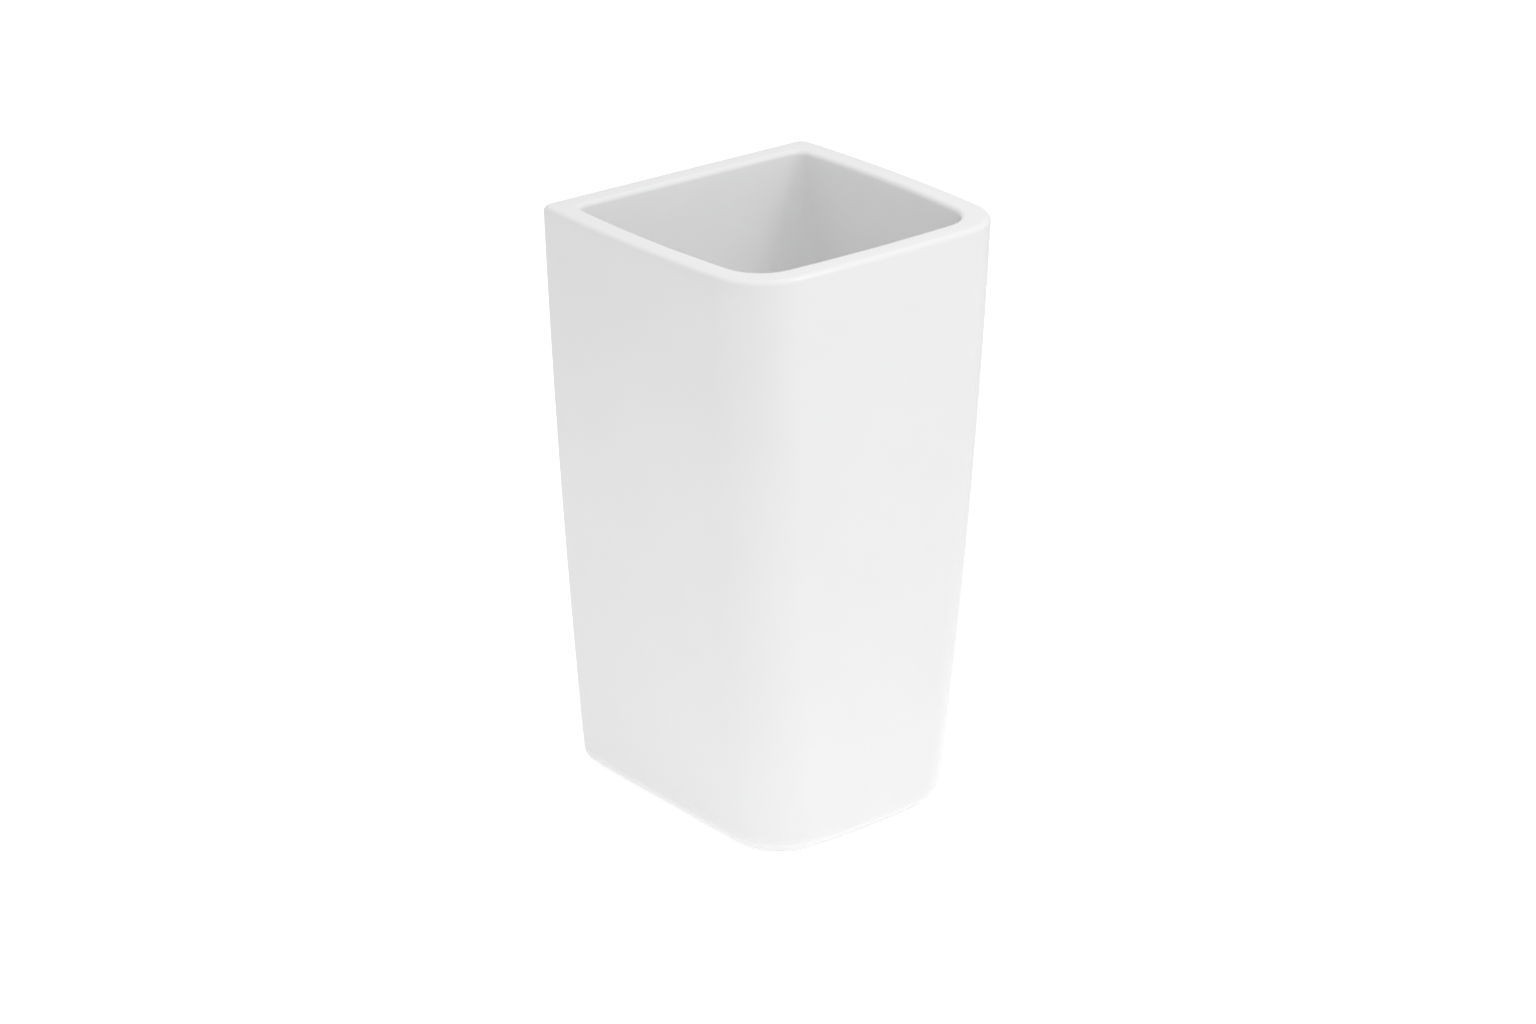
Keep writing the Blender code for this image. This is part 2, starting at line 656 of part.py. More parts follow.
def build_plug():
    """Cap, seal and stem of the plug, open: they hang from an empty on the joint's axis."""
    under = FLANGE_TOP_Z + PLUG_CLEARANCE + PLUG_LIFT
    edge_z = under + (PLUG_HEIGHT - PLUG_FALL) / 2
    boss_low = under - PLUG_BOSS
    socket_r, socket_top = STEM_R + GAP, under - PLUG_SOCKET_TOP
    cap = turned("plug_cap", plug_dome(under) + [
        (PLUG_R, edge_z), (PLUG_UNDER_R, under), (PLUG_BOSS_R, under), (PLUG_BOSS_R, boss_low),
        (socket_r, boss_low), (socket_r, socket_top), (0, socket_top),
    ], "chrome", ROUND, ends="points")
    seal_top = under - GAP
    seal = washer("plug_seal", PLUG_BOSS_R + GAP, PLUG_SEAL_R, seal_top - PLUG_SEAL, seal_top, "rubber")
    head_top = CARTRIDGE_MOUTH_Z
    head_low = head_top - STEM_HEAD
    stem_top = socket_top - GAP
    stem = turned("plug_stem", [
        (0, head_low), (STEM_HEAD_R, head_low), (STEM_HEAD_R, head_top), (STEM_R, head_top),
        (STEM_R, stem_top - STEM_POINT), (STEM_R - STEM_POINT, stem_top), (0, stem_top),
    ], "brass", SMALL_ROUND, ends="points")
    lift = bpy.data.objects.new("plug_axis", None)
    bpy.context.scene.collection.objects.link(lift)
    for piece in (cap, seal, stem):
        piece.parent = lift
    build_spring(CARTRIDGE_FLOOR_Z + GAP, head_low - GAP)


# ---------------------------------------------------------------- trap

def slip_nut(name):
    """Compression nut, open end down at z = 0, with a lip on top that presses the cone."""
    mouth_r, top = SOCKET_R + GAP, SLIP_NUT_HEIGHT
    lip, crown_z = top - SLIP_NUT_LIP, top - SLIP_NUT_CROWN
    flats, crown = nut_rings(SLIP_NUT)
    return turned(name, [
        (mouth_r, 0.0), (crown, 0.0), (flats, NUT_CHAMFER), (flats, crown_z - NUT_CHAMFER), (crown, crown_z),
        (SLIP_NUT_TOP_R, top), (TUBE_HOLE_R, top), (TUBE_HOLE_R, lip), (mouth_r, lip),
    ], "chrome", NUT_ROUND)


def cone_washer(name):
    """Rubber ring, wedge-shaped below, that grips the tube when the nut is tight."""
    return turned(name, [
        (TUBE_HOLE_R, 0.0), (CONE_POINT_R, 0.0), (CONE_R, CONE - CONE_STRAIGHT), (CONE_R, CONE),
        (TUBE_HOLE_R, CONE),
    ], "rubber")


def nut_start(socket_end):
    """Where a slip nut's open end lies when its lip presses the cone on a socket's end."""
    return socket_end + GAP + CONE + GAP - (SLIP_NUT_HEIGHT - SLIP_NUT_LIP)


def build_inlet():
    washer_top = WASTE_END_Z - GAP
    washer_low = washer_top - UNION_WASHER
    washer("union_washer", TUBE_BORE_R, UNION_WASHER_R, washer_low, washer_top, "rubber")
    rim_top = washer_low - GAP
    rim_low = rim_top - TUBE_RIM
    turned("inlet_tube", [
        (TUBE_BORE_R, DIP_END_Z), (TUBE_R, DIP_END_Z), (TUBE_R, rim_low), (TUBE_RIM_R, rim_low),
        (TUBE_RIM_R, rim_top), (TUBE_BORE_R, rim_top),
    ], "chrome")
    build_union_nut(rim_low - GAP)
    cone = cone_washer("inlet_cone")
    cone.location.z = SOCKET_TOP_Z + GAP
    nut = slip_nut("inlet_slip_nut")
    nut.location.z = nut_start(SOCKET_TOP_Z)


def build_union_nut(lip_top):
    """The nut that lifts the inlet tube's rim against the end of the waste."""
    top, low = UNION_NUT_TOP_Z, lip_top - UNION_NUT_LIP
    flats, crown = nut_rings(UNION_NUT)
    turned("union_nut", [
        (WASTE_HOLE_R, top), (UNION_NUT_TOP_R, top), (crown, top - NUT_CHAMFER),
        (flats, top - UNION_NUT_END), (flats, low + UNION_NUT_END), (crown, low + NUT_CHAMFER),
        (UNION_NUT_LOW_R, low), (TUBE_HOLE_R, low), (TUBE_HOLE_R, lip_top), (WASTE_HOLE_R, lip_top),
    ], "chrome", NUT_ROUND)


def drum_dome(radius, top):
    """The drum's top as an ellipse's quarter, from beside the socket out to a radius."""
    width = radius - SOCKET_R
    return [(SOCKET_R + width * sin(turn), top - TRAP_SHOULDER * (1 - cos(turn)))
            for turn in steps(0.0, pi / 2, 4)]


def build_trap_body():
    """Upper half of the bottle: a domed drum with a socket on top and an outlet stub at its side."""
    drum = turned("trap_body", [
        (0, SOCKET_TOP_Z), (SOCKET_R, SOCKET_TOP_Z), *drum_dome(TRAP_R, TRAP_TOP_Z),
        (TRAP_R, TRAP_BOTTOM_Z), (0, TRAP_BOTTOM_Z),
    ], "chrome", ROUND, ends="points")
    stub = turned("outlet_stub_block", [(0, 0.0), (SOCKET_R, 0.0), (SOCKET_R, STUB_END_Y), (0, STUB_END_Y)],
                  None, ROUND, ends="points")
    point_along_y(as_cutter(stub), 0.0, OUTLET_Z)
    above, below = SOCKET_TOP_Z + WARE, TRAP_BOTTOM_Z - WARE
    hollow_r, hollow_top = TRAP_R - TRAP_WALL, TRAP_TOP_Z - TRAP_WALL
    hollow = turned("trap_hollow_cutter", [
        (0, above), (TUBE_HOLE_R, above), (TUBE_HOLE_R, hollow_top), *drum_dome(hollow_r, hollow_top),
        (hollow_r, below), (0, below),
    ], None, ROUND, ends="points")
    way_out = turned("outlet_bore_cutter", [
        (0, STUB_BORE_START), (TUBE_HOLE_R, STUB_BORE_START), (TUBE_HOLE_R, STUB_END_Y + WARE),
        (0, STUB_END_Y + WARE),
    ], None, ROUND, ends="points")
    point_along_y(as_cutter(way_out), 0.0, OUTLET_Z)
    combine(drum, stub, "UNION")
    combine(drum, as_cutter(hollow), "DIFFERENCE")
    combine(drum, way_out, "DIFFERENCE")


def build_cup():
    """Lower half of the bottle: a round cup with a grip, whose neck screws up into the drum."""
    shoulder = TRAP_BOTTOM_Z - CUP_SEAL
    neck_r = TRAP_R - TRAP_WALL - GAP
    neck_top, inner_r = TRAP_BOTTOM_Z + CUP_NECK, neck_r - CUP_WALL
    side_r, floor = CUP_R - CUP_STEP, CUP_BOTTOM_Z + CUP_FLOOR
    edge = [(side_r - CUP_EDGE * (1 - sin(turn)), CUP_BOTTOM_Z + CUP_EDGE * (1 - cos(turn)))
            for turn in steps(0.0, pi / 2, 3)]
    turned("trap_cup", [
        (0, CUP_BOTTOM_Z), *edge, (side_r, CUP_GRIP_Z - CUP_STEP), (CUP_R, CUP_GRIP_Z), (CUP_R, shoulder),
        (neck_r, shoulder), (neck_r, neck_top), (inner_r, neck_top), (inner_r, floor + 2 * CUP_FLOOR),
        (inner_r - CUP_FLOOR, floor), (0, floor),
    ], "chrome", ROUND, ends="points")
    washer("cup_seal", neck_r + GAP, TRAP_R, shoulder + GAP, TRAP_BOTTOM_Z - GAP, "rubber")


def rosette_bell(rise, low, high):
    """Half of the rosette's section: a bell that flares from the pipe to its rim."""
    return [(mix(ROSETTE_NECK_R, ROSETTE_R - rise, sin(turn)), mix(low, high, 1 - cos(turn)))
            for turn in steps(0.0, pi / 2, 4)]


def build_outlet():
    inside = STUB_END_Y - OUTLET_INSERT
    pipe_end = BACK_Y - GAP
    pipe = washer("outlet_pipe", TUBE_BORE_R, TUBE_R, 0.0, pipe_end - inside, "chrome")
    point_along_y(pipe, inside, OUTLET_Z)
    point_along_y(cone_washer("outlet_cone"), STUB_END_Y + GAP, OUTLET_Z)
    point_along_y(slip_nut("outlet_slip_nut"), nut_start(STUB_END_Y), OUTLET_Z)
    sheet, depth = ROSETTE_SHEET, ROSETTE_DEPTH
    front = rosette_bell(2 * sheet, 0.0, depth - sheet)
    back = rosette_bell(3 * sheet, sheet, depth)
    rosette = turned("wall_rosette", [
        (TUBE_HOLE_R, 0.0), *front, (ROSETTE_R, depth - sheet), (ROSETTE_R, depth), *reversed(back),
        (TUBE_HOLE_R, sheet),
    ], "chrome")
    point_along_y(rosette, pipe_end - depth, OUTLET_Z)


clear_scene()
build_basin()
build_waste_body()
build_waste_seals()
build_cartridge()
build_plug()
build_inlet()
build_trap_body()
build_cup()
build_outlet()
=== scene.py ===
from collections import namedtuple
from math import atan2, cos, hypot, pi, radians, sin, sqrt, tan

import bmesh
import bpy
from mathutils import Matrix, Vector


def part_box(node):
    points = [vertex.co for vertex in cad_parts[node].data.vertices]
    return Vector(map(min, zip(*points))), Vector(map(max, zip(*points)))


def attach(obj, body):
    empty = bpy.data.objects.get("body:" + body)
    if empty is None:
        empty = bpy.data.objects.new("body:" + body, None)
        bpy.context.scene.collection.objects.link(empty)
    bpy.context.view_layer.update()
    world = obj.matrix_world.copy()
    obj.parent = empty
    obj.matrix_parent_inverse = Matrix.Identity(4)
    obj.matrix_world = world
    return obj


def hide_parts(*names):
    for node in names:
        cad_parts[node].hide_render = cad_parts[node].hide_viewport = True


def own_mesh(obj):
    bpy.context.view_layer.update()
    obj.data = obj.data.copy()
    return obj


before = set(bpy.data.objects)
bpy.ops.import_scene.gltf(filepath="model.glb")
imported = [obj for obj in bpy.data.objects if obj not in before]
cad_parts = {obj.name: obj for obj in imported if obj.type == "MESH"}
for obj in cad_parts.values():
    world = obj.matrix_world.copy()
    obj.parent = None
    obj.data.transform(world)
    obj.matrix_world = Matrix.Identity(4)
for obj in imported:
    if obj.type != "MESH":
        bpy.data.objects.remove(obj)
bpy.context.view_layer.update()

# ---------------------------------------------------------------- dimensions

BASIN_LOW, BASIN_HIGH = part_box("basin_body")
HEIGHT = BASIN_HIGH.z
BACK_Y = BASIN_HIGH.y
DEPTH_RIM = 0.447
DEPTH_FOOT = 0.4265
HALF_BACK_RIM = 0.2294
HALF_BACK_FOOT = 0.1777
HALF_FRONT_RIM = 0.2197
HALF_FRONT_FOOT = 0.1756
SIDE_BOW_RIM = 0.0104
SIDE_BOW_FOOT = 0.0005
FRONT_BOW_RIM = 0.0070
FRONT_BOW_FOOT = 0.0128
FRONT_CORNER_RIM = 0.0827
FRONT_CORNER_FOOT = 0.0904
BACK_CORNER = 0.018
INNER_BACK_CORNER = 0.007
SIDE_CURVE = 0.478           # share of the taper that grows with the square of the drop
FRONT_CURVE = 0.498
RIM_EDGE = 0.0080
FOOT_EDGE = 0.034

WARE = 0.012
RIM_WIDTH = 0.0355
BOWL_EDGE = 0.0072
BOWL_FRONT_CORNER = 0.0555
BOWL_BACK_CORNER = 0.0160    # at the rim; it widens on the way down
BOWL_BACK_CORNER_LOW = 0.050
BOWL_DRAFT = radians(1.2)
BOWL_COVE = 0.045
COVE_END_Z = 0.616
COVE_TOP_Z = COVE_END_Z + BOWL_COVE
RIM_THICKNESS = 0.014
FOOT_WIDTH = 0.060
FOOT_WIDTH_BACK = 0.030
ARRIS = 0.0015               # rounding of the foot ring's inner edges

FLOOR_Z = 0.610
SEAT_Z = 0.605
PAD_Z = 0.592
HOLE_R = 0.023
RECESS_R = 0.035
RECESS_LIP = 0.0025
RECESS_FILLET = 0.002
PAD_R = 0.045
PAD_SKIRT_R = 0.050

OPENING_HALF_WIDTH = 0.100
OPENING_TOP_Z = 0.540
OPENING_CORNER = 0.050
OPENING_LIP = 0.004          # rounding of the glazed edge round the service opening
OPENING_INNER_LIP = 0.003
CUT_BEYOND = 0.020           # how far the opening's cutter runs out of the back and below the floor
CUT_DEPTH = 0.045            # how far it reaches in from the back

# Points along half an outline: its back, back corner, side, front corner and front.
OUTLINE_POINTS = (10, 10, 22, 22, 14)

# Rings along each part of the basin's skin.
EDGE_RINGS = 10              # the rim's outer edge, and the bowl's edge
WALL_RINGS = 12
COVE_RINGS = 18
DISH_RINGS = 22
LIP_RINGS = 5
SHELL_RINGS = 44
FOOT_RINGS = 16
INNER_FOOT_RINGS = 9
INNER_SHELL_RINGS = 30
UNDER_WALL_RINGS = 8
UNDER_COVE_RINGS = 14
UNDER_DISH_RINGS = 12
ARCH_POINTS = 20
OPENING_LIP_RINGS = 8
OPENING_INNER_LIP_RINGS = 6

Plan = namedtuple("Plan", "half_back half_front side_bow depth front_bow front_corner back_corner back_y")


# ---------------------------------------------------------------- material helpers

class Nodes:
    """A material's node tree, with short ways to add and join its nodes."""

    def __init__(self, name):
        self.material = bpy.data.materials.new(name)
        self.material.use_nodes = True
        self.tree = self.material.node_tree
        self.shader = self.tree.nodes["Principled BSDF"]
        self.place = self.add("ShaderNodeTexCoord").outputs["Object"]

    def add(self, kind, **settings):
        node = self.tree.nodes.new(kind)
        for name, value in settings.items():
            setattr(node, name, value)
        return node

    def join(self, source, target):
        self.tree.links.new(source, target)

    def noise(self, scale, detail=3.0, roughness=0.5, stretch=None):
        """Noise over the piece.  scale is in waves to the metre; stretch draws it out along an axis."""
        node = self.add("ShaderNodeTexNoise")
        node.inputs["Scale"].default_value = scale
        node.inputs["Detail"].default_value = detail
        node.inputs["Roughness"].default_value = roughness
        place = self.place
        if stretch:
            mapping = self.add("ShaderNodeMapping")
            mapping.inputs["Scale"].default_value = stretch
            self.join(place, mapping.inputs["Vector"])
            place = mapping.outputs["Vector"]
        self.join(place, node.inputs["Vector"])
        return node.outputs["Fac"]

    def span(self, source, low, high, start=0.3, end=0.7, interpolation="LINEAR"):
        """Map a value from start..end to low..high."""
        node = self.add("ShaderNodeMapRange", interpolation_type=interpolation)
        node.inputs["From Min"].default_value = start
        node.inputs["From Max"].default_value = end
        node.inputs["To Min"].default_value = low
        node.inputs["To Max"].default_value = high
        self.join(source, node.inputs["Value"])
        return node.outputs["Result"]

    def plus(self, first, second):
        node = self.add("ShaderNodeMath", operation="ADD")
        self.join(first, node.inputs[0])
        self.join(second, node.inputs[1])
        return node.outputs["Value"]

    def blend(self, share, first, second):
        """Mix two colours, each a colour or a socket."""
        node = self.add("ShaderNodeMix", data_type="RGBA")
        self.join(share, node.inputs[0])
        for value, socket in ((first, node.inputs[6]), (second, node.inputs[7])):
            if isinstance(value, tuple):
                socket.default_value = (*value, 1.0)
            else:
                self.join(value, socket)
        return node.outputs[2]

    def bump(self, height, distance, below=None):
        node = self.add("ShaderNodeBump")
        node.inputs["Distance"].default_value = distance
        node.inputs["Strength"].default_value = 1.0
        self.join(height, node.inputs["Height"])
        if below:
            self.join(below, node.inputs["Normal"])
        return node.outputs["Normal"]

    def set(self, **values):
        for name, value in values.items():
            self.shader.inputs[name.replace("_", " ")].default_value = value


def glaze():
    """Gloss white glaze: even colour, a faint long wave left by casting, and fine orange peel."""
    m = Nodes("white_glaze")
    m.set(IOR=1.5, Coat_Weight=0.6, Coat_Roughness=0.03)
    cloud = m.span(m.noise(7.0, 2.0), 0.0, 1.0)
    body = m.blend(cloud, (0.783, 0.785, 0.785), (0.797, 0.798, 0.798))
    specks = m.add("ShaderNodeTexVoronoi")
    specks.inputs["Scale"].default_value = 90.0
    m.join(m.place, specks.inputs["Vector"])
    speck = m.span(specks.outputs["Distance"], 1.0, 0.0, 0.018, 0.030)
    m.join(m.blend(speck, body, (0.73, 0.72, 0.70)), m.shader.inputs["Base Color"])
    m.join(m.span(m.noise(35.0, 2.0), 0.07, 0.10), m.shader.inputs["Roughness"])
    wave = m.bump(m.noise(9.0, 1.0), 0.0006)
    peel = m.bump(m.noise(420.0, 2.0), 0.000012, below=wave)
    m.join(peel, m.shader.inputs["Normal"])
    return m.material


def bisque():
    """Unglazed ware inside the column: matt, off-white and finely grained."""
    m = Nodes("bisque")
    m.set(IOR=1.4)
    cloud = m.span(m.noise(14.0, 4.0), 0.0, 1.0)
    m.join(m.blend(cloud, (0.74, 0.72, 0.68), (0.82, 0.80, 0.77)), m.shader.inputs["Base Color"])
    m.join(m.span(m.noise(60.0), 0.62, 0.78), m.shader.inputs["Roughness"])
    coarse = m.bump(m.noise(40.0, 4.0), 0.0008)
    m.join(m.bump(m.noise(1500.0, 2.0), 0.00008, below=coarse), m.shader.inputs["Normal"])
    return m.material


def chrome():
    """Polished chrome plate with faint wiping marks and water haze."""
    m = Nodes("polished_chrome")
    m.set(Metallic=1.0, IOR=2.5)
    haze = m.span(m.noise(50.0, 4.0, 0.6), 0.0, 1.0, 0.35, 0.75)
    m.join(m.blend(haze, (0.80, 0.81, 0.83), (0.74, 0.75, 0.77)), m.shader.inputs["Base Color"])
    m.join(m.span(haze, 0.045, 0.13, 0.0, 1.0), m.shader.inputs["Roughness"])
    wipe = m.noise(300.0, 2.0, stretch=(1.0, 1.0, 0.06))
    m.join(m.bump(wipe, 0.000006), m.shader.inputs["Normal"])
    return m.material


def brass():
    """Turned brass: fine tool rings and a little tarnish."""
    m = Nodes("turned_brass")
    m.set(Metallic=1.0)
    tarnish = m.span(m.noise(70.0, 5.0, 0.6), 0.0, 1.0)
    m.join(m.blend(tarnish, (0.76, 0.58, 0.30), (0.58, 0.42, 0.21)), m.shader.inputs["Base Color"])
    m.join(m.span(tarnish, 0.22, 0.38, 0.0, 1.0), m.shader.inputs["Roughness"])
    rings = m.noise(60.0, 2.0, stretch=(1.0, 1.0, 60.0))
    m.join(m.bump(rings, 0.00002), m.shader.inputs["Normal"])
    return m.material


def steel():
    """Drawn spring wire."""
    m = Nodes("spring_steel")
    m.set(Metallic=1.0)
    drawn = m.noise(900.0, 2.0)
    m.join(m.blend(drawn, (0.58, 0.58, 0.59), (0.68, 0.68, 0.69)), m.shader.inputs["Base Color"])
    m.join(m.span(drawn, 0.18, 0.30), m.shader.inputs["Roughness"])
    m.join(m.bump(drawn, 0.00001), m.shader.inputs["Normal"])
    return m.material


def rubber():
    """Black sealing rubber with a dusty bloom."""
    m = Nodes("black_rubber")
    bloom = m.span(m.noise(160.0, 5.0, 0.65), 0.0, 1.0, 0.4, 0.8)
    m.join(m.blend(bloom, (0.022, 0.022, 0.023), (0.060, 0.060, 0.062)), m.shader.inputs["Base Color"])
    m.join(m.span(bloom, 0.55, 0.75, 0.0, 1.0), m.shader.inputs["Roughness"])
    m.join(m.bump(m.noise(900.0), 0.00003), m.shader.inputs["Normal"])
    return m.material


def plastic():
    """Off-white moulded plastic."""
    m = Nodes("moulded_plastic")
    tint = m.span(m.noise(25.0, 2.0), 0.0, 1.0)
    m.join(m.blend(tint, (0.78, 0.78, 0.75), (0.83, 0.83, 0.81)), m.shader.inputs["Base Color"])
    m.join(m.span(m.noise(200.0), 0.38, 0.50), m.shader.inputs["Roughness"])
    m.join(m.bump(m.noise(1200.0, 2.0), 0.00002), m.shader.inputs["Normal"])
    return m.material


FINISHES = {"ware": glaze(), "chrome": chrome(), "brass": brass(), "steel": steel(),
            "rubber": rubber(), "plastic": plastic()}
BISQUE = bisque()


# ---------------------------------------------------------------- mesh helpers

def add_piece(name, mesh, node, slot, body="basin", smooth_angle=32.0):
    """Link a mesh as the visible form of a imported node."""
    piece = bpy.data.objects.new(name, mesh)
    bpy.context.scene.collection.objects.link(piece)
    mesh.shade_smooth()
    mesh.set_sharp_from_angle(angle=radians(smooth_angle))
    if slot:
        mesh.materials.append(FINISHES[slot])
    if node:
        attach(piece, body)
        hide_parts(node)
    return piece


def skin(bm, lower, upper, material=0):
    count = max(len(lower), len(upper))
    for i in range(count):
        j = (i + 1) % count
        if len(lower) == 1:
            face = bm.faces.new((lower[0], upper[j], upper[i]))
        elif len(upper) == 1:
            face = bm.faces.new((lower[i], lower[j], upper[0]))
        else:
            face = bm.faces.new((lower[i], lower[j], upper[j], upper[i]))
        face.material_index = material


def loft(name, rings, ends="joined", bisque_from=None):
    """Skin a list of rings.  The ends are "joined" to each other, "capped", or "points" on the axis.

    From ring bisque_from on, the faces take the mesh's second material.
    """
    bm = bmesh.new()
    loops = [[bm.verts.new(point) for point in ring] for ring in rings]
    pairs = list(zip(loops, loops[1:]))
    if ends == "joined":
        pairs.append((loops[-1], loops[0]))
    for index, (lower, upper) in enumerate(pairs):
        skin(bm, lower, upper, int(bisque_from is not None and index >= bisque_from))
    if ends == "capped":
        bm.faces.new(loops[0])
        bm.faces.new(loops[-1])
    bmesh.ops.recalc_face_normals(bm, faces=bm.faces)
    mesh = bpy.data.meshes.new(name)
    bm.to_mesh(mesh)
    bm.free()
    return mesh


def steps(start, end, count):
    """Evenly spaced values, both ends included."""
    return [start + (end - start) * i / count for i in range(count + 1)]


def arc(centre, radius, start, end, count):
    """Points on an arc, without its first one."""
    return [(centre[0] + radius * cos(a), centre[1] + radius * sin(a)) for a in steps(start, end, count)[1:]]


def bearing(centre, point):
    return atan2(point[1] - centre[1], point[0] - centre[0])


def mix(first, second, share):
    return first + (second - first) * share


# ---------------------------------------------------------------- plan outline

def side_circle(plan, front_y):
    """The circle of the bowed side, through its back and front ends."""
    back, front = (plan.half_back, plan.back_y), (plan.half_front, front_y)
    dx, dy = front[0] - back[0], front[1] - back[1]
    chord = hypot(dx, dy)
    radius = (chord ** 2 / 4 + plan.side_bow ** 2) / (2 * plan.side_bow)
    pull = (radius - plan.side_bow) / chord
    centre = ((back[0] + front[0]) / 2 + dy * pull, (back[1] + front[1]) / 2 - dx * pull)
    return centre, radius


def corner_centre(side, side_r, front, front_r, corner_r):
    """Centre of the front corner's arc, which lies inside both circles and touches them."""
    to_side, to_front = side_r - corner_r, front_r - corner_r
    dx, dy = front[0] - side[0], front[1] - side[1]
    span = hypot(dx, dy)
    along = (to_side ** 2 - to_front ** 2 + span ** 2) / (2 * span)
    across = sqrt(to_side ** 2 - along ** 2)
    ux, uy = dx / span, dy / span
    choices = [(side[0] + along * ux - sign * across * uy, side[1] + along * uy + sign * across * ux)
               for sign in (-1, 1)]
    return min(choices, key=lambda point: point[1])


def outline(plan):
    """A closed ring of (x, y) points, from the middle of the back round by +X to the front and home."""
    on_back, on_back_corner, on_side, on_corner, on_front = OUTLINE_POINTS
    front_y = BACK_Y - plan.depth
    side, side_r = side_circle(plan, front_y)
    front_r = (plan.half_front ** 2 + plan.front_bow ** 2) / (2 * plan.front_bow)
    front = (0.0, front_y + front_r)
    corner = corner_centre(side, side_r, front, front_r, plan.front_corner)
    back_corner_y = plan.back_y - plan.back_corner
    reach = side_r - plan.back_corner
    back_corner_x = side[0] + sqrt(reach ** 2 - (back_corner_y - side[1]) ** 2)
    back_corner = (back_corner_x, back_corner_y)
    side_start, side_end = bearing(side, back_corner), bearing(side, corner)
    front_start = bearing(front, corner)
    points = [(back_corner_x * i / on_back, plan.back_y) for i in range(on_back + 1)]
    points += arc(back_corner, plan.back_corner, pi / 2, side_start, on_back_corner)
    points += arc(side, side_r, side_start, side_end, on_side)
    points += arc(corner, plan.front_corner, side_end, front_start, on_corner)
    points += arc(front, front_r, front_start, -pi / 2, on_front)
    mirrored = [(-x, y) for x, y in reversed(points[1:-1])]
    return points + mirrored


def shell_plan(z, inset=0.0, back_inset=0.0, back_corner=BACK_CORNER):
    """Plan of the outer face at a height, or of a face set in from it."""
    drop = 1 - z / HEIGHT
    side = (1 - SIDE_CURVE) * drop + SIDE_CURVE * drop ** 2
    front = (1 - FRONT_CURVE) * drop + FRONT_CURVE * drop ** 2
    return Plan(
        half_back=mix(HALF_BACK_RIM, HALF_BACK_FOOT, side) - inset,
        half_front=mix(HALF_FRONT_RIM, HALF_FRONT_FOOT, side) - inset,
        side_bow=mix(SIDE_BOW_RIM, SIDE_BOW_FOOT, side),
        depth=mix(DEPTH_RIM, DEPTH_FOOT, front) - inset,
        front_bow=mix(FRONT_BOW_RIM, FRONT_BOW_FOOT, front),
        front_corner=mix(FRONT_CORNER_RIM, FRONT_CORNER_FOOT, side) - inset,
        back_corner=back_corner,
        back_y=BACK_Y - back_inset,
    )


def bowl_plan(inset, front_corner, back_corner):
    """Plan of the bowl, set in from the rim's outer edge on all sides."""
    return Plan(
        half_back=HALF_BACK_RIM - inset,
        half_front=HALF_FRONT_RIM - inset,
        side_bow=SIDE_BOW_RIM,
        depth=DEPTH_RIM - inset,
        front_bow=FRONT_BOW_RIM,
        front_corner=front_corner,
        back_corner=back_corner,
        back_y=BACK_Y - inset,
    )


def at_height(points, z):
    return [(x, y, z) for x, y in points]


def shell_ring(z, inset=0.0, back_inset=0.0, back_corner=BACK_CORNER):
    return at_height(outline(shell_plan(z, inset, back_inset, back_corner)), z)


def round_waste(points, radius):
    """A circle round the waste whose points lie in the same directions as those of an outline."""
    angles = [atan2(y, x) for x, y in points]
    return [(radius * cos(a), radius * sin(a)) for a in angles]


# ---------------------------------------------------------------- basin

def bowl_inset(z):
    return RIM_WIDTH + (HEIGHT - z) * tan(BOWL_DRAFT)


def bowl_wall(z, skin_out=0.0, grow=0.0):
    """Plan of the bowl's wall at a height.  grow opens it towards the rim's flat."""
    share = (HEIGHT - z) / (HEIGHT - COVE_TOP_Z)
    back_corner = mix(BOWL_BACK_CORNER, BOWL_BACK_CORNER_LOW, share)
    inset = bowl_inset(z) - skin_out - grow
    return bowl_plan(inset, BOWL_FRONT_CORNER + skin_out + grow, back_corner + skin_out + grow)


def cove_ring(turn, radius, skin_out):
    """One ring of the cove.  skin_out is 0 on the bowl's face and WARE on its underside."""
    z = COVE_TOP_Z - radius * sin(turn)
    set_in = bowl_inset(max(z, COVE_END_Z)) + BOWL_COVE - radius * cos(turn)
    shrink = BOWL_COVE * (1 - cos(turn))
    front = BOWL_FRONT_CORNER + skin_out - shrink / 2
    back = BOWL_BACK_CORNER_LOW + skin_out - shrink / 3
    return at_height(outline(bowl_plan(set_in, front, back)), z)


def dish(edge_ring, circle_r, circle_z, count):
    """Rings from a circle round the waste out to, but not including, the cove; the fall eases out."""
    edge = [(x, y) for x, y, z in edge_ring]
    edge_z = edge_ring[0][2]
    inner = round_waste(edge, circle_r)
    rings = []
    for share in steps(0.0, 1.0, count)[:-1]:
        z = mix(circle_z, edge_z, 1 - (1 - share) ** 2)
        rings.append([(mix(a, c, share), mix(b, d, share), z) for (a, b), (c, d) in zip(inner, edge)])
    return rings


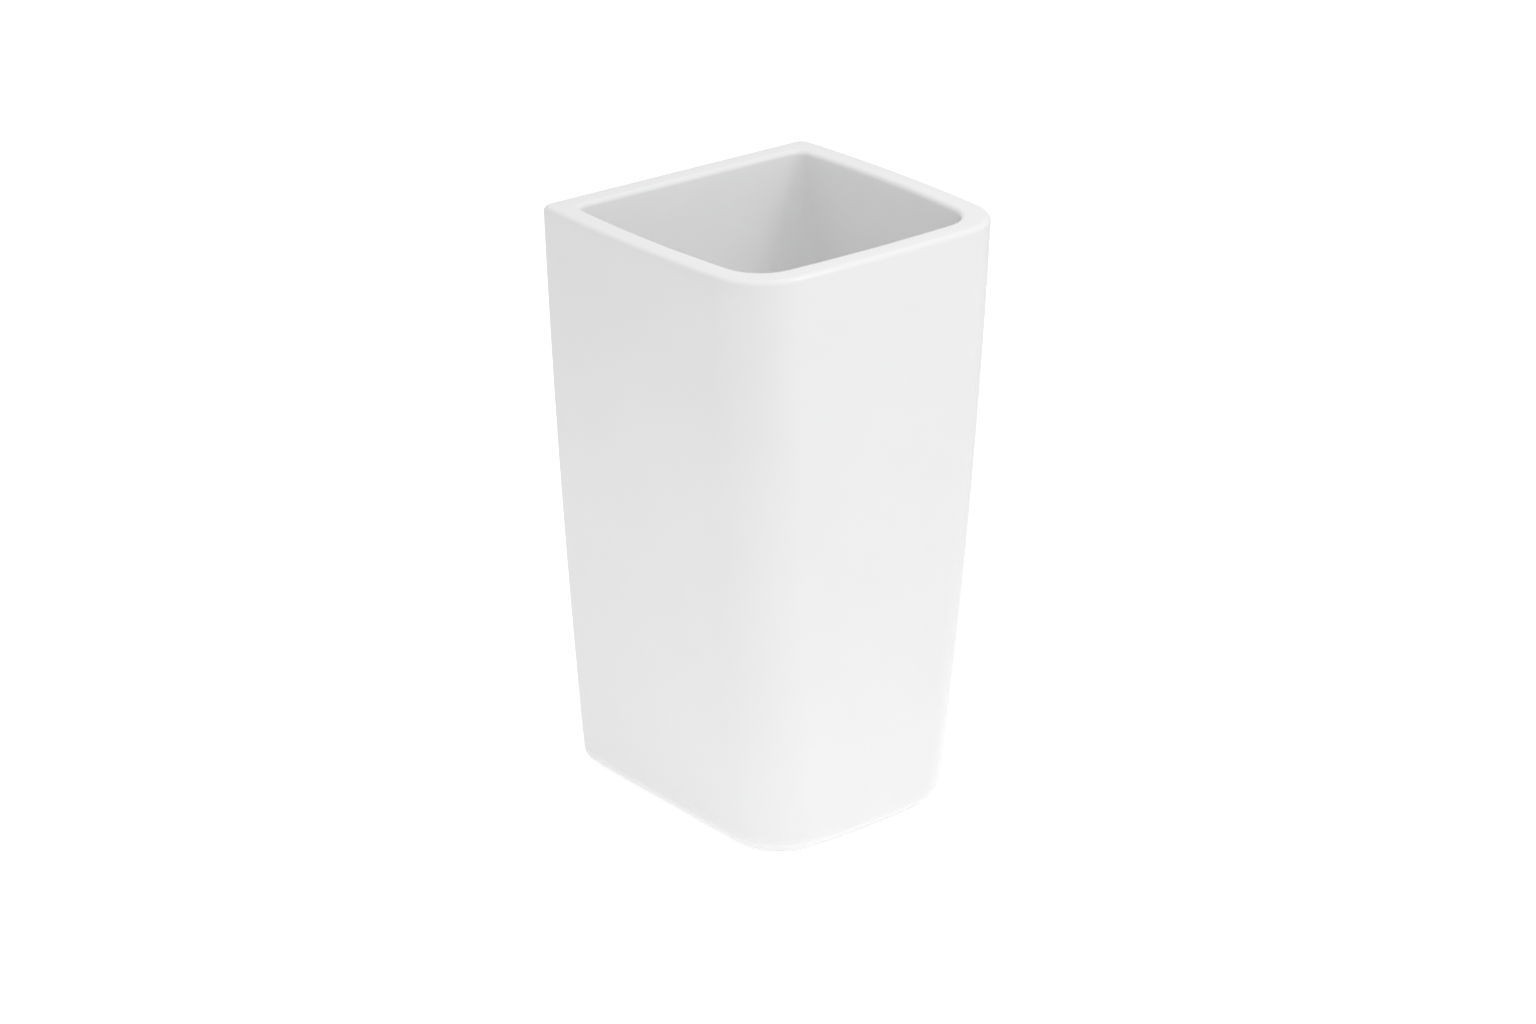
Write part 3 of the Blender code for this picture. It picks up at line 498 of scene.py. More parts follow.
def bowl_face():
    """Rings from the waste hole up the bowl to the flat of the rim."""
    cove = [cove_ring(turn, BOWL_COVE, 0.0) for turn in steps(pi / 2, 0.0, COVE_RINGS)]
    directions = [(x, y) for x, y, z in cove[0]]
    seat = [(HOLE_R, PAD_Z), (HOLE_R, SEAT_Z - ARRIS), (HOLE_R + ARRIS / 3, SEAT_Z - ARRIS / 3),
            (HOLE_R + ARRIS, SEAT_Z), (RECESS_R - RECESS_FILLET, SEAT_Z),
            (RECESS_R - RECESS_FILLET * 0.3, SEAT_Z + RECESS_FILLET * 0.3),
            (RECESS_R, SEAT_Z + RECESS_FILLET)]
    rings = [at_height(round_waste(directions, radius), z) for radius, z in seat]
    for turn in steps(0.0, pi / 2, LIP_RINGS)[:-1]:
        radius = RECESS_R + RECESS_LIP * (1 - cos(turn))
        rings.append(at_height(round_waste(directions, radius), FLOOR_Z - RECESS_LIP * (1 - sin(turn))))
    rings += dish(cove[0], RECESS_R + RECESS_LIP, FLOOR_Z, DISH_RINGS)
    rings += cove
    for z in steps(COVE_TOP_Z, HEIGHT - BOWL_EDGE, WALL_RINGS)[1:]:
        rings.append(at_height(outline(bowl_wall(z)), z))
    for turn in steps(0.0, pi / 2, EDGE_RINGS)[1:]:
        z = HEIGHT - BOWL_EDGE * (1 - sin(turn))
        rings.append(at_height(outline(bowl_wall(z, grow=BOWL_EDGE * (1 - cos(turn)))), z))
    return rings


def outer_face():
    """Rings from the rim's outer edge down the column to the foot ring."""
    rings = []
    for turn in steps(0.0, pi / 2, EDGE_RINGS):
        inset = RIM_EDGE * (1 - sin(turn))
        rings.append(shell_ring(HEIGHT - RIM_EDGE * (1 - cos(turn)), inset, inset, BACK_CORNER - inset))
    for z in steps(HEIGHT - RIM_EDGE, FOOT_EDGE, SHELL_RINGS)[1:]:
        rings.append(shell_ring(z))
    for turn in steps(0.0, pi / 2, FOOT_RINGS)[1:]:
        rings.append(shell_ring(FOOT_EDGE * (1 - sin(turn)), FOOT_EDGE * (1 - cos(turn))))
    return rings


def inner_face():
    """Rings from the foot ring up inside the shell, over under the rim, and down round the bowl."""
    foot = [(0.0, FOOT_WIDTH - ARRIS), (ARRIS / 3, FOOT_WIDTH - ARRIS / 3), (ARRIS, FOOT_WIDTH),
            (WARE - ARRIS, FOOT_WIDTH), (WARE, FOOT_WIDTH - ARRIS)]
    rings = [shell_ring(z, inset, FOOT_WIDTH_BACK - FOOT_WIDTH + inset, INNER_BACK_CORNER)
             for z, inset in foot]
    for turn in steps(pi / 2, 0.0, INNER_FOOT_RINGS):
        inset = FOOT_EDGE - (FOOT_EDGE - WARE) * cos(turn)
        z = FOOT_EDGE - (FOOT_EDGE - WARE) * sin(turn)
        rings.append(shell_ring(z, inset, WARE, INNER_BACK_CORNER))
    roof_z = HEIGHT - RIM_THICKNESS
    for z in steps(FOOT_EDGE, roof_z, INNER_SHELL_RINGS)[1:]:
        rings.append(shell_ring(z, WARE, WARE, INNER_BACK_CORNER))
    for z in steps(roof_z, COVE_TOP_Z, UNDER_WALL_RINGS)[:-1]:
        rings.append(at_height(outline(bowl_wall(z, WARE)), z))
    under = [cove_ring(turn, BOWL_COVE + WARE, WARE) for turn in steps(0.0, pi / 2, UNDER_COVE_RINGS)]
    rings += under
    rings += reversed(dish(under[-1], PAD_SKIRT_R, PAD_Z + WARE / 2, UNDER_DISH_RINGS))
    directions = [(x, y) for x, y, z in under[-1]]
    rings.append(at_height(round_waste(directions, PAD_R), PAD_Z))
    return rings


def arch(grow):
    """Outline of the service opening as (x, z) points, widened by grow."""
    half, corner = OPENING_HALF_WIDTH + grow, OPENING_CORNER + grow
    shoulder = OPENING_TOP_Z - OPENING_CORNER
    points = [(half, -CUT_BEYOND), (half, shoulder)]
    points += arc((half - corner, shoulder), corner, 0.0, pi / 2, ARCH_POINTS)
    return points + [(-x, z) for x, z in reversed(points)]


def build_basin():
    glazed = bowl_face() + outer_face()
    mesh = loft("basin", glazed + inner_face(), bisque_from=len(glazed) - 1)
    widest = max(vertex.co.x for vertex in mesh.vertices)
    mesh.transform(Matrix.Diagonal((BASIN_HIGH.x / widest, 1.0, 1.0, 1.0)))
    basin = add_piece("basin", mesh, "basin_body", "ware", smooth_angle=40.0)
    mesh.materials.append(BISQUE)
    cut_opening(basin)
    return basin


def cut_opening(basin):
    """Cut the arched service opening, with the edge on each side of the wall rounded over."""
    def lip(radius, depth):
        """How far the edge has drawn back, at a depth below the face it rounds into."""
        return radius - sqrt(max(radius ** 2 - (radius - depth) ** 2, 0.0))
    outer = [OPENING_LIP * (1 - cos(turn)) for turn in steps(0.0, pi / 2, OPENING_LIP_RINGS)]
    inner = [OPENING_INNER_LIP * (1 - cos(turn)) for turn in steps(pi / 2, 0.0, OPENING_INNER_LIP_RINGS)]
    sections = [(-CUT_BEYOND, OPENING_LIP)]
    sections += [(depth, lip(OPENING_LIP, depth)) for depth in outer]
    sections += [(WARE - depth, lip(OPENING_INNER_LIP, depth)) for depth in inner]
    sections += [(CUT_DEPTH, OPENING_INNER_LIP)]
    rings = [[(x, BACK_Y - depth, z) for x, z in arch(grow)] for depth, grow in sections]
    combine(basin, loft("opening_cutter", rings, "capped"), "DIFFERENCE")


def combine(piece, tool_mesh, operation):
    """Join a tool's mesh to a piece, or cut it away, and keep only the result."""
    tool = bpy.data.objects.new(tool_mesh.name, tool_mesh)
    bpy.context.scene.collection.objects.link(tool)
    modifier = piece.modifiers.new(tool.name, "BOOLEAN")
    modifier.operation = operation
    modifier.solver = "EXACT"
    modifier.object = tool
    bpy.context.view_layer.update()
    evaluated = piece.evaluated_get(bpy.context.evaluated_depsgraph_get())
    mesh = bpy.data.meshes.new_from_object(evaluated)
    piece.modifiers.clear()
    piece.data = mesh
    bpy.data.objects.remove(tool, do_unlink=True)


build_basin()


# ---------------------------------------------------------------- turned shapes

ROUND = 96                   # points round a pipe or a ring
NUT_ROUND = 120              # points round a nut, twenty along each flat
GAP = 0.0003                 # between pieces that touch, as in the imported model
CUT_CLEAR = 0.001            # how far a cutter passes the faces it cuts
NUT_FACE_SET_BACK = 0.0001   # how far a nut's turned face lies inside its flats
NUT_CONE = radians(30)
NUT_CONE_RINGS = 6
CORNER_POINTS = 5            # points on a rounded corner
LONGEST_CUT = 0.45           # most of a side that one rounded corner takes
THREAD_RINGS = 8             # rings to each turn of a thread


def ring(radius, z, count=ROUND):
    """A circle round the Z axis.  A radius may be a function of the angle; zero gives one point."""
    if radius == 0:
        return [(0.0, 0.0, z)]
    size = radius if callable(radius) else (lambda angle: radius)
    angles = [2 * pi * i / count for i in range(count)]
    return [(size(a) * cos(a), size(a) * sin(a), z) for a in angles]


def turned_mesh(name, profile, count=ROUND, ends="joined"):
    return loft(name, [ring(radius, z, count) for radius, z in profile], ends)


def turned(node, profile, slot, body="basin", count=ROUND, ends="joined"):
    """The visible form of a node that is turned from a profile of (radius, z) points."""
    name = node + "_form"
    return add_piece(name, turned_mesh(name, profile, count, ends), node, slot, body)


def rounded(profile, size):
    """Round a profile's corners: each is cut back by size, or less where a side is short."""
    count = len(profile)
    points = []
    for i, corner in enumerate(profile):
        here = Vector(corner)
        to_last, to_next = Vector(profile[i - 1]) - here, Vector(profile[(i + 1) % count]) - here
        cut = min(size, LONGEST_CUT * to_last.length, LONGEST_CUT * to_next.length)
        first, last = here + to_last.normalized() * cut, here + to_next.normalized() * cut
        for t in steps(0.0, 1.0, CORNER_POINTS - 1):
            point = first * (1 - t) ** 2 + here * 2 * t * (1 - t) + last * t ** 2
            points.append((point.x, point.y))
    return points


def rounded_between(profile, size):
    """The rounded corners of an open profile, without its first and last points."""
    return rounded(profile, size)[CORNER_POINTS:-CORNER_POINTS]


def flowing(points, count):
    """A smooth curve through points, with count steps between each two."""
    knots = [Vector(p) for p in (points[0], *points, points[-1])]
    curve = [points[0]]
    for before, start, end, after in zip(knots, knots[1:], knots[2:], knots[3:]):
        for t in steps(0.0, 1.0, count)[1:]:
            point = 0.5 * (2 * start + (end - before) * t
                           + (2 * before - 5 * start + 4 * end - after) * t ** 2
                           + (3 * start - before - 3 * end + after) * t ** 3)
            curve.append((point.x, point.y))
    return curve


def hexagon(apothem, limit):
    """Radius of a hexagon with its corners turned down to a circle."""
    def radius(angle):
        return min(apothem / cos(angle % (pi / 3) - pi / 6), limit)
    return radius


def hex_wall(apothem, corner, start, end):
    """Profile of a nut's flats from start to end, with both ends turned to a cone."""
    way = 1 if end > start else -1
    face_r = apothem - NUT_FACE_SET_BACK
    reach = (corner - face_r) * tan(NUT_CONE)

    def turned_down(share):
        return hexagon(apothem, face_r + (corner - face_r) * share)
    near = [(turned_down(t), start + way * reach * t) for t in steps(0, 1, NUT_CONE_RINGS)]
    far = [(turned_down(t), end - way * reach * t) for t in steps(1, 0, NUT_CONE_RINGS)]
    return near + far


def thread(radius, depth, pitch, start, end):
    """Profile of a right-handed thread that fades in and out over a turn at its ends."""
    def at(z):
        fade = min(1.0, abs(z - start) / pitch, abs(end - z) / pitch)
        return lambda angle: radius - depth * fade * (0.5 - 0.5 * cos(2 * pi * z / pitch - angle))
    count = max(2, round(abs(end - start) / pitch * THREAD_RINGS))
    return [(at(z), z) for z in steps(start, end, count)]


def along_y(piece, y, z):
    """Turn a piece made along Z so that it runs towards the wall from (0, y, z)."""
    piece.data.transform(Matrix.Translation((0.0, y, z)) @ Matrix.Rotation(-pi / 2, 4, "X"))
    return piece


# ---------------------------------------------------------------- waste and plug

TUBE_R = 0.0208
BORE_R = 0.0180
BRIDGE_TOP_Z = 0.585
BRIDGE_BOTTOM_Z = 0.575
HUB_R = 0.0105
CARTRIDGE_R = 0.0075
CARTRIDGE_BORE_R = 0.0050
CARTRIDGE_LOW, CARTRIDGE_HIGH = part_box("cartridge_body")
CAP_LOW, CAP_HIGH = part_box("cartridge_cap")
WASTE_LOW, WASTE_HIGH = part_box("waste_body")
THREAD_PITCH = 0.0023
THREAD_DEPTH = 0.0011
FLANGE_R = 0.0315
FLANGE_SEAL_R = 0.0290
FLANGE_SEAL_DEPTH = 0.0018
UNDER_SEAL_R = 0.0320
UNDER_SEAL_LOW_R = 0.0300
SLIP_WASHER_R = 0.0300
FLANGE_EYE_R = 0.0285        # where the flange's flat ends and its throat begins
FLANGE_EDGE = 0.0008         # how far the flange's outer edge lies below its top
BRIDGE_WINDOWS = 3
SPOKE_HALF_ANGLE = radians(14)
BACKNUT_FLATS = 0.0255       # from the axis to a flat
BACKNUT_CORNERS = 0.0282
BACKNUT_COLLAR_R = 0.0295
COLLAR_NUT_FLATS = 0.0088
COLLAR_NUT_CORNERS = 0.0098
COLLAR_NUT_DEPTH = 0.003
CAP_BORE_R = 0.0033
PLUG_R = 0.0320
PLUG_EDGE = 0.0062           # how far the plug's edge reaches below its top
PLUG_BOSS_R = 0.0075
PLUG_SOCKET_R = 0.0033
STEM_R = 0.0030
STEM_HEAD_R = 0.0046
STEM_HEAD_HEIGHT = 0.004
SPRING_WIRE_R = 0.0004
SPRING_TURNS = 9
SPRING_POINTS = 40           # points to each turn
SPRING_SIDES = 10
SPRING_CLOSED_ENDS = 0.55    # how closely the end turns lie


def build_waste():
    under, top = SEAT_Z + FLANGE_SEAL_DEPTH + GAP, WASTE_HIGH.z
    low = WASTE_LOW.z
    flange = rounded([(TUBE_R, under), (FLANGE_R, under), (FLANGE_R, top - FLANGE_EDGE), (FLANGE_EYE_R, top)],
                     0.0007)
    throat = flowing([(FLANGE_EYE_R, top), (0.0230, top - 0.0006), (0.0196, top - 0.0026),
                      (BORE_R + 0.0002, top - 0.0044), (BORE_R, top - 0.0060)], 5)
    inside = [(BORE_R, BRIDGE_TOP_Z), (CARTRIDGE_R + GAP, BRIDGE_TOP_Z), (CARTRIDGE_R + GAP, BRIDGE_BOTTOM_Z),
              (BORE_R, BRIDGE_BOTTOM_Z), (BORE_R, low + 0.0006), (BORE_R + 0.0006, low)]
    outside = [(TUBE_R - 0.0012, low), (TUBE_R - 0.0012, low + 0.001)]
    outside += thread(TUBE_R, THREAD_DEPTH, THREAD_PITCH, low + 0.001, PAD_Z - 0.002)
    body = turned("waste_body", outside + flange[2:] + throat[1:] + inside, "chrome")
    pitch = 2 * pi / BRIDGE_WINDOWS
    reach = BORE_R - 0.0006
    for number in range(BRIDGE_WINDOWS):
        start, end = pitch * number + SPOKE_HALF_ANGLE, pitch * (number + 1) - SPOKE_HALF_ANGLE
        outer = [(reach * cos(a), reach * sin(a)) for a in steps(start, end, 24)]
        inner = [(HUB_R * cos(a), HUB_R * sin(a)) for a in steps(end, start, 18)]
        ends = (BRIDGE_BOTTOM_Z - CUT_CLEAR, BRIDGE_TOP_Z + CUT_CLEAR)
        window = [at_height(outer + inner, z) for z in ends]
        combine(body, loft("bridge_window", window, "capped"), "DIFFERENCE")


def build_seals():
    bore = TUBE_R + GAP
    low, high = SEAT_Z + GAP, SEAT_Z + FLANGE_SEAL_DEPTH
    turned("flange_seal", rounded([(bore, low), (FLANGE_SEAL_R, low), (FLANGE_SEAL_R, high), (bore, high)],
                                  0.0005), "rubber")
    low, high = (corner.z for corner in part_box("under_seal"))
    turned("under_seal", rounded([(bore, low), (UNDER_SEAL_LOW_R, low), (UNDER_SEAL_R, low + 0.003),
                                  (UNDER_SEAL_R, high), (bore, high)], 0.0009), "rubber")
    low, high = (corner.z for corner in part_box("slip_washer"))
    turned("slip_washer", rounded([(bore, low), (SLIP_WASHER_R, low), (SLIP_WASHER_R, high), (bore, high)],
                                  0.0003), "plastic")
    low, high = (corner.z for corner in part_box("waste_backnut"))
    collar = high - 0.0018
    turned("waste_backnut", [(bore + 0.0008, low), *hex_wall(BACKNUT_FLATS, BACKNUT_CORNERS, low, collar),
                             (BACKNUT_COLLAR_R, collar), (BACKNUT_COLLAR_R, high - 0.0003),
                             (BACKNUT_COLLAR_R - 0.0003, high), (bore + 0.0004, high), (bore, high - 0.0004),
                             (bore, low + 0.0008)],
           "brass", count=NUT_ROUND)


def build_cartridge():
    collar = BRIDGE_TOP_Z + GAP
    low, high = CARTRIDGE_LOW.z, CARTRIDGE_HIGH.z
    outside = [(0, low), (CARTRIDGE_R - 0.0010, low), (CARTRIDGE_R - 0.0003, low + 0.0003),
               (CARTRIDGE_R, low + 0.0010)]
    outside += thread(CARTRIDGE_R, 0.0003, 0.0010, low + 0.002, BRIDGE_TOP_Z - 0.0005)
    nut = hex_wall(COLLAR_NUT_FLATS, COLLAR_NUT_CORNERS, collar, collar + COLLAR_NUT_DEPTH)
    inside = [(CARTRIDGE_R, collar + COLLAR_NUT_DEPTH), (CARTRIDGE_R, high - 0.0003),
              (CARTRIDGE_R - 0.0003, high), (CARTRIDGE_BORE_R + 0.0003, high),
              (CARTRIDGE_BORE_R, high - 0.0003), (CARTRIDGE_BORE_R, low + 0.003), (0, low + 0.003)]
    turned("cartridge_body", outside + [(CARTRIDGE_R, collar)] + nut + inside, "brass", count=NUT_ROUND,
           ends="points")
    turned("cartridge_cap", rounded([(CAP_BORE_R, CAP_LOW.z), (CARTRIDGE_R, CAP_LOW.z),
                                     (CARTRIDGE_R, CAP_HIGH.z), (CAP_BORE_R, CAP_HIGH.z)], 0.0006), "plastic")


def spring_point(turn, turns, radius, low, high):
    """A point on the spring's wire; its first and last turns lie close, as on a closed end."""
    share = turn / turns
    eased = share - sin(2 * pi * share) / (2 * pi) * SPRING_CLOSED_ENDS
    angle = 2 * pi * turn
    return Vector((radius * cos(angle), radius * sin(angle), low + (high - low) * eased))


def build_spring():
    """Wire swept along a coil, built at one length; the real spring shortens as the plug goes down."""
    low, high = (corner.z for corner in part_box("click_spring"))
    wire = SPRING_WIRE_R
    radius = CARTRIDGE_BORE_R - wire - 2 * GAP
    points = [spring_point(i / SPRING_POINTS, SPRING_TURNS, radius, low + wire, high - wire)
              for i in range(SPRING_TURNS * SPRING_POINTS + 1)]
    angles = [2 * pi * k / SPRING_SIDES for k in range(SPRING_SIDES)]
    rings = []
    for i, point in enumerate(points):
        ahead = (points[min(i + 1, len(points) - 1)] - points[max(i - 1, 0)]).normalized()
        out = Vector((point.x, point.y, 0.0)).normalized()
        up = ahead.cross(out)
        rings.append([point + wire * (out * cos(a) + up * sin(a)) for a in angles])
    mesh = loft("click_spring_form", rings, "capped")
    spring = add_piece("click_spring_form", mesh, "click_spring", "steel", smooth_angle=60.0)
    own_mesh(spring)


def build_plug():
    low, high = (corner.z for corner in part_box("plug_cap"))
    under = high - PLUG_EDGE
    deep = under - 0.001
    dome = flowing([(0, high), (0.010, high - 0.0003), (0.020, high - 0.0011), (0.0275, high - 0.0024),
                    (0.0308, high - 0.0036), (0.0318, high - 0.0045)], 6)
    edge = flowing([(0.0318, high - 0.0045), (PLUG_R, high - 0.0050), (0.0319, high - 0.0056),
                    (0.0314, under)], 3)[1:]
    boss = rounded_between([(0.0300, under), (PLUG_BOSS_R, under), (PLUG_BOSS_R, low), (PLUG_SOCKET_R, low),
                            (PLUG_SOCKET_R, deep)], 0.0006)
    turned("plug_cap", dome + edge + boss + [(PLUG_SOCKET_R, deep), (0, deep)], "chrome", "plug",
           ends="points")
    low, high = (corner.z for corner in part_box("plug_seal"))
    bore = PLUG_BOSS_R + GAP
    turned("plug_seal", rounded([(bore, low), (0.0195, low), (0.0225, low + 0.0006), (0.0225, high - 0.0004),
                                 (0.0205, high), (bore, high)], 0.0005), "rubber", "plug")
    low, high = (corner.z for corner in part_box("plug_stem"))
    shank = low + STEM_HEAD_HEIGHT
    outside = rounded([(STEM_HEAD_R, low), (STEM_HEAD_R, shank), (STEM_R, shank), (STEM_R, high - 0.0005),
                       (STEM_R - 0.0005, high)], 0.0003)[:-1]
    turned("plug_stem", [(0, low), *outside, (0, high)], "brass", "plug", ends="points")


# ---------------------------------------------------------------- trap

PIPE_R = 0.0160
PIPE_BORE_R = 0.0147
PIPE_HOLE_R = PIPE_R + GAP
SOCKET_R = 0.0215
SOCKET_BORE_R = 0.0163
TRAP_R = 0.0310
TRAP_WALL = 0.002
DRUM_DROP = 0.013            # from the socket's mouth down to the drum's shoulder
STUB_ROOT_R = 0.0236
HOLLOW_BEYOND = 0.010        # how far the trap's cutters pass its open ends
SLIP_NUT_HEIGHT = 0.020
SLIP_NUT_LIP = 0.003
SLIP_NUT_FLATS = 0.0265
SLIP_NUT_CORNERS = 0.0290
UNION_NUT_FLATS = 0.0255
UNION_NUT_CORNERS = 0.0280
INLET_FLANGE_R = 0.0198
INLET_FLANGE = 0.002
CONE_R = 0.0210
CONE_TIP_R = 0.0190
CONE_HEIGHT = 0.0058
CUP_R = 0.0320
GRIP_R = 0.0330
GRIP_RIBS = 48
GRIP_DEPTH = 0.0008
CUP_POINTS = 288             # six to each rib
OUTLET_Z = sum(corner.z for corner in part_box("outlet_pipe")) / 2


def slip_nut(node, mouth_r):
    """Compression nut, open end down at z = 0, with a lip on top that presses the cone."""
    high = SLIP_NUT_HEIGHT
    outside = [(mouth_r + 0.0006, 0.0), *hex_wall(SLIP_NUT_FLATS, SLIP_NUT_CORNERS, 0.0, high - 0.0030),
               (0.0262, high - 0.0026)]
    crown = flowing([(0.0250, high - 0.0022), (0.0225, high - 0.0008), (0.0200, high)], 4)
    inside = [(PIPE_HOLE_R + 0.0004, high), (PIPE_HOLE_R, high - 0.0004), (PIPE_HOLE_R, high - SLIP_NUT_LIP),
              (mouth_r, high - SLIP_NUT_LIP), (mouth_r, 0.0006)]
    return turned(node, outside + crown + inside, "chrome", count=NUT_ROUND)


def cone_washer(node):
    """Rubber ring, wedge-shaped below, that grips the tube when the nut is tight."""
    profile = [(PIPE_HOLE_R, 0.0), (CONE_TIP_R, 0.0), (CONE_R, 0.003), (CONE_R, CONE_HEIGHT),
               (PIPE_HOLE_R, CONE_HEIGHT)]
    return turned(node, rounded(profile, 0.0004), "rubber")


def build_inlet():
    low, high = (corner.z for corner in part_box("union_washer"))
    turned("union_washer", rounded([(PIPE_BORE_R, low), (0.0200, low), (0.0200, high), (PIPE_BORE_R, high)],
                                   0.0004), "rubber")
    low, high = (corner.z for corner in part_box("inlet_tube"))
    under = high - INLET_FLANGE
    turned("inlet_tube", rounded([(PIPE_BORE_R, low), (PIPE_R, low), (PIPE_R, under), (INLET_FLANGE_R, under),
                                  (INLET_FLANGE_R, high), (PIPE_BORE_R, high)], 0.0005), "chrome")
    lip = under - GAP
    low, high = (corner.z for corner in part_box("union_nut"))
    bore = TUBE_R + GAP
    flats = hex_wall(UNION_NUT_FLATS, UNION_NUT_CORNERS, high - 0.0004, low + 0.0004)
    outside = [(bore + 0.0006, high), (0.0235, high), *flats, (0.0230, low), (PIPE_HOLE_R + 0.0004, low)]
    inside = [(PIPE_HOLE_R, low + 0.0004), (PIPE_HOLE_R, lip), (bore, lip), (bore, high - 0.0006)]
    turned("union_nut", outside + inside, "chrome", count=NUT_ROUND)
    cone = cone_washer("inlet_cone")
    cone.data.transform(Matrix.Translation((0.0, 0.0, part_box("inlet_cone")[0].z)))
    nut = slip_nut("inlet_slip_nut", SOCKET_R + GAP)
    nut.data.transform(Matrix.Translation((0.0, 0.0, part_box("inlet_slip_nut")[0].z)))


def build_trap_body():
    """Upper half of the bottle: a domed drum with a socket on top and an outlet stub at its side."""
    low, high = (corner.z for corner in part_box("trap_body"))
    stub_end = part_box("trap_body")[1].y
    drum_top = high - DRUM_DROP
    roof = drum_top - TRAP_WALL
    socket = rounded([(SOCKET_BORE_R, high), (SOCKET_R, high), (SOCKET_R, drum_top + 0.001)], 0.0007)
    socket = socket[CORNER_POINTS:-1]
    dome = flowing([(SOCKET_R, drum_top + 0.0008), (0.0240, drum_top - 0.0003), (0.0280, drum_top - 0.0024),
                    (0.0303, drum_top - 0.0053), (TRAP_R, drum_top - 0.0090)], 6)
    outside = [(0, high), (0.0150, high)] + socket + dome
    outside += rounded_between([(TRAP_R, drum_top - 0.010), (TRAP_R, low), (0.0280, low)], 0.0006)
    body = turned("trap_body", outside + [(0.0290, low), (0, low)], "chrome", ends="points")
    mouth = rounded_between([(SOCKET_R, 0.030), (SOCKET_R, stub_end), (SOCKET_BORE_R, stub_end)], 0.0007)
    root = flowing([(STUB_ROOT_R, STUB_ROOT_R), (0.0224, 0.0262), (0.0217, 0.0296), (SOCKET_R, 0.0330)], 5)
    stub_profile = [(0, 0.0), (STUB_ROOT_R, 0.0), *root, *mouth, (0.0150, stub_end), (0, stub_end)]
    stub = turned_mesh("outlet_stub", stub_profile, ends="points")
    turn = Matrix.Translation((0.0, 0.0, OUTLET_Z)) @ Matrix.Rotation(-pi / 2, 4, "X")
    stub.transform(turn)
    combine(body, stub, "UNION")
    above, below, beyond = high + HOLLOW_BEYOND, low - HOLLOW_BEYOND, stub_end + HOLLOW_BEYOND
    inner_r = TRAP_R - TRAP_WALL
    shoulder = flowing([(0.0200, roof - 0.0002), (0.0245, drum_top - 0.0032), (0.0275, drum_top - 0.0058),
                        (inner_r, drum_top - 0.0095)], 4)
    hollow_profile = [(0, above), (PIPE_HOLE_R, above), (PIPE_HOLE_R, roof), *shoulder, (inner_r, below),
                      (0, below)]
    combine(body, turned_mesh("trap_hollow", hollow_profile, ends="points"), "DIFFERENCE")
    way_profile = [(0, 0.010), (PIPE_HOLE_R, 0.010), (PIPE_HOLE_R, beyond), (0, beyond)]
    way_out = turned_mesh("outlet_way", way_profile, ends="points")
    way_out.transform(turn)
    combine(body, way_out, "DIFFERENCE")


def ribbed(radius, depth, ribs):
    """Radius of a grip with rounded ribs; the furrows between them are depth deep."""
    return lambda angle: radius - depth * (0.5 - 0.5 * cos(ribs * angle)) ** 2


def build_cup():
    low, high = (corner.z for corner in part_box("trap_cup"))
    neck_r = TRAP_R - TRAP_WALL - GAP
    base = flowing([(0, low + 0.0006), (0.0120, low + 0.0003), (0.0220, low), (0.0268, low + 0.0014),
                    (0.0298, low + 0.0046), (0.0316, low + 0.0088), (CUP_R, low + 0.0140)], 6)
    base += [(CUP_R, low + 0.0600)]
    grip_low, grip_high = low + 0.0606, high - 0.0135
    shallow = ribbed(GRIP_R - 0.0001, 0.0003, GRIP_RIBS)
    full = ribbed(GRIP_R, GRIP_DEPTH, GRIP_RIBS)
    grip = [(0.0324, grip_low), (shallow, grip_low + 0.0006), (full, grip_low + 0.0014)]
    grip += [(full, z) for z in steps(grip_low + 0.003, grip_high - 0.0016, 4)]
    grip += [(shallow, grip_high - 0.0006), (0.0322, grip_high), (0.0300, grip_high)]
    neck = [(neck_r, grip_high)] + thread(neck_r, 0.0004, 0.0020, grip_high + 0.001, high - 0.001)
    neck += [(neck_r - 0.0004, high), (neck_r - 0.002, high)]
    inside = [(neck_r - 0.002, low + 0.0120)]
    inside += flowing([(neck_r - 0.0021, low + 0.0100), (0.0250, low + 0.0050), (0.0200, low + 0.0032),
                       (0.0100, low + 0.0031), (0, low + 0.0031)], 5)
    turned("trap_cup", base + grip + neck + inside, "chrome", ends="points", count=CUP_POINTS)
    low, high = (corner.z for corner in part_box("cup_seal"))
    bore = neck_r + GAP
    turned("cup_seal", rounded([(bore, low), (TRAP_R, low), (TRAP_R, high), (bore, high)], 0.0006), "rubber")


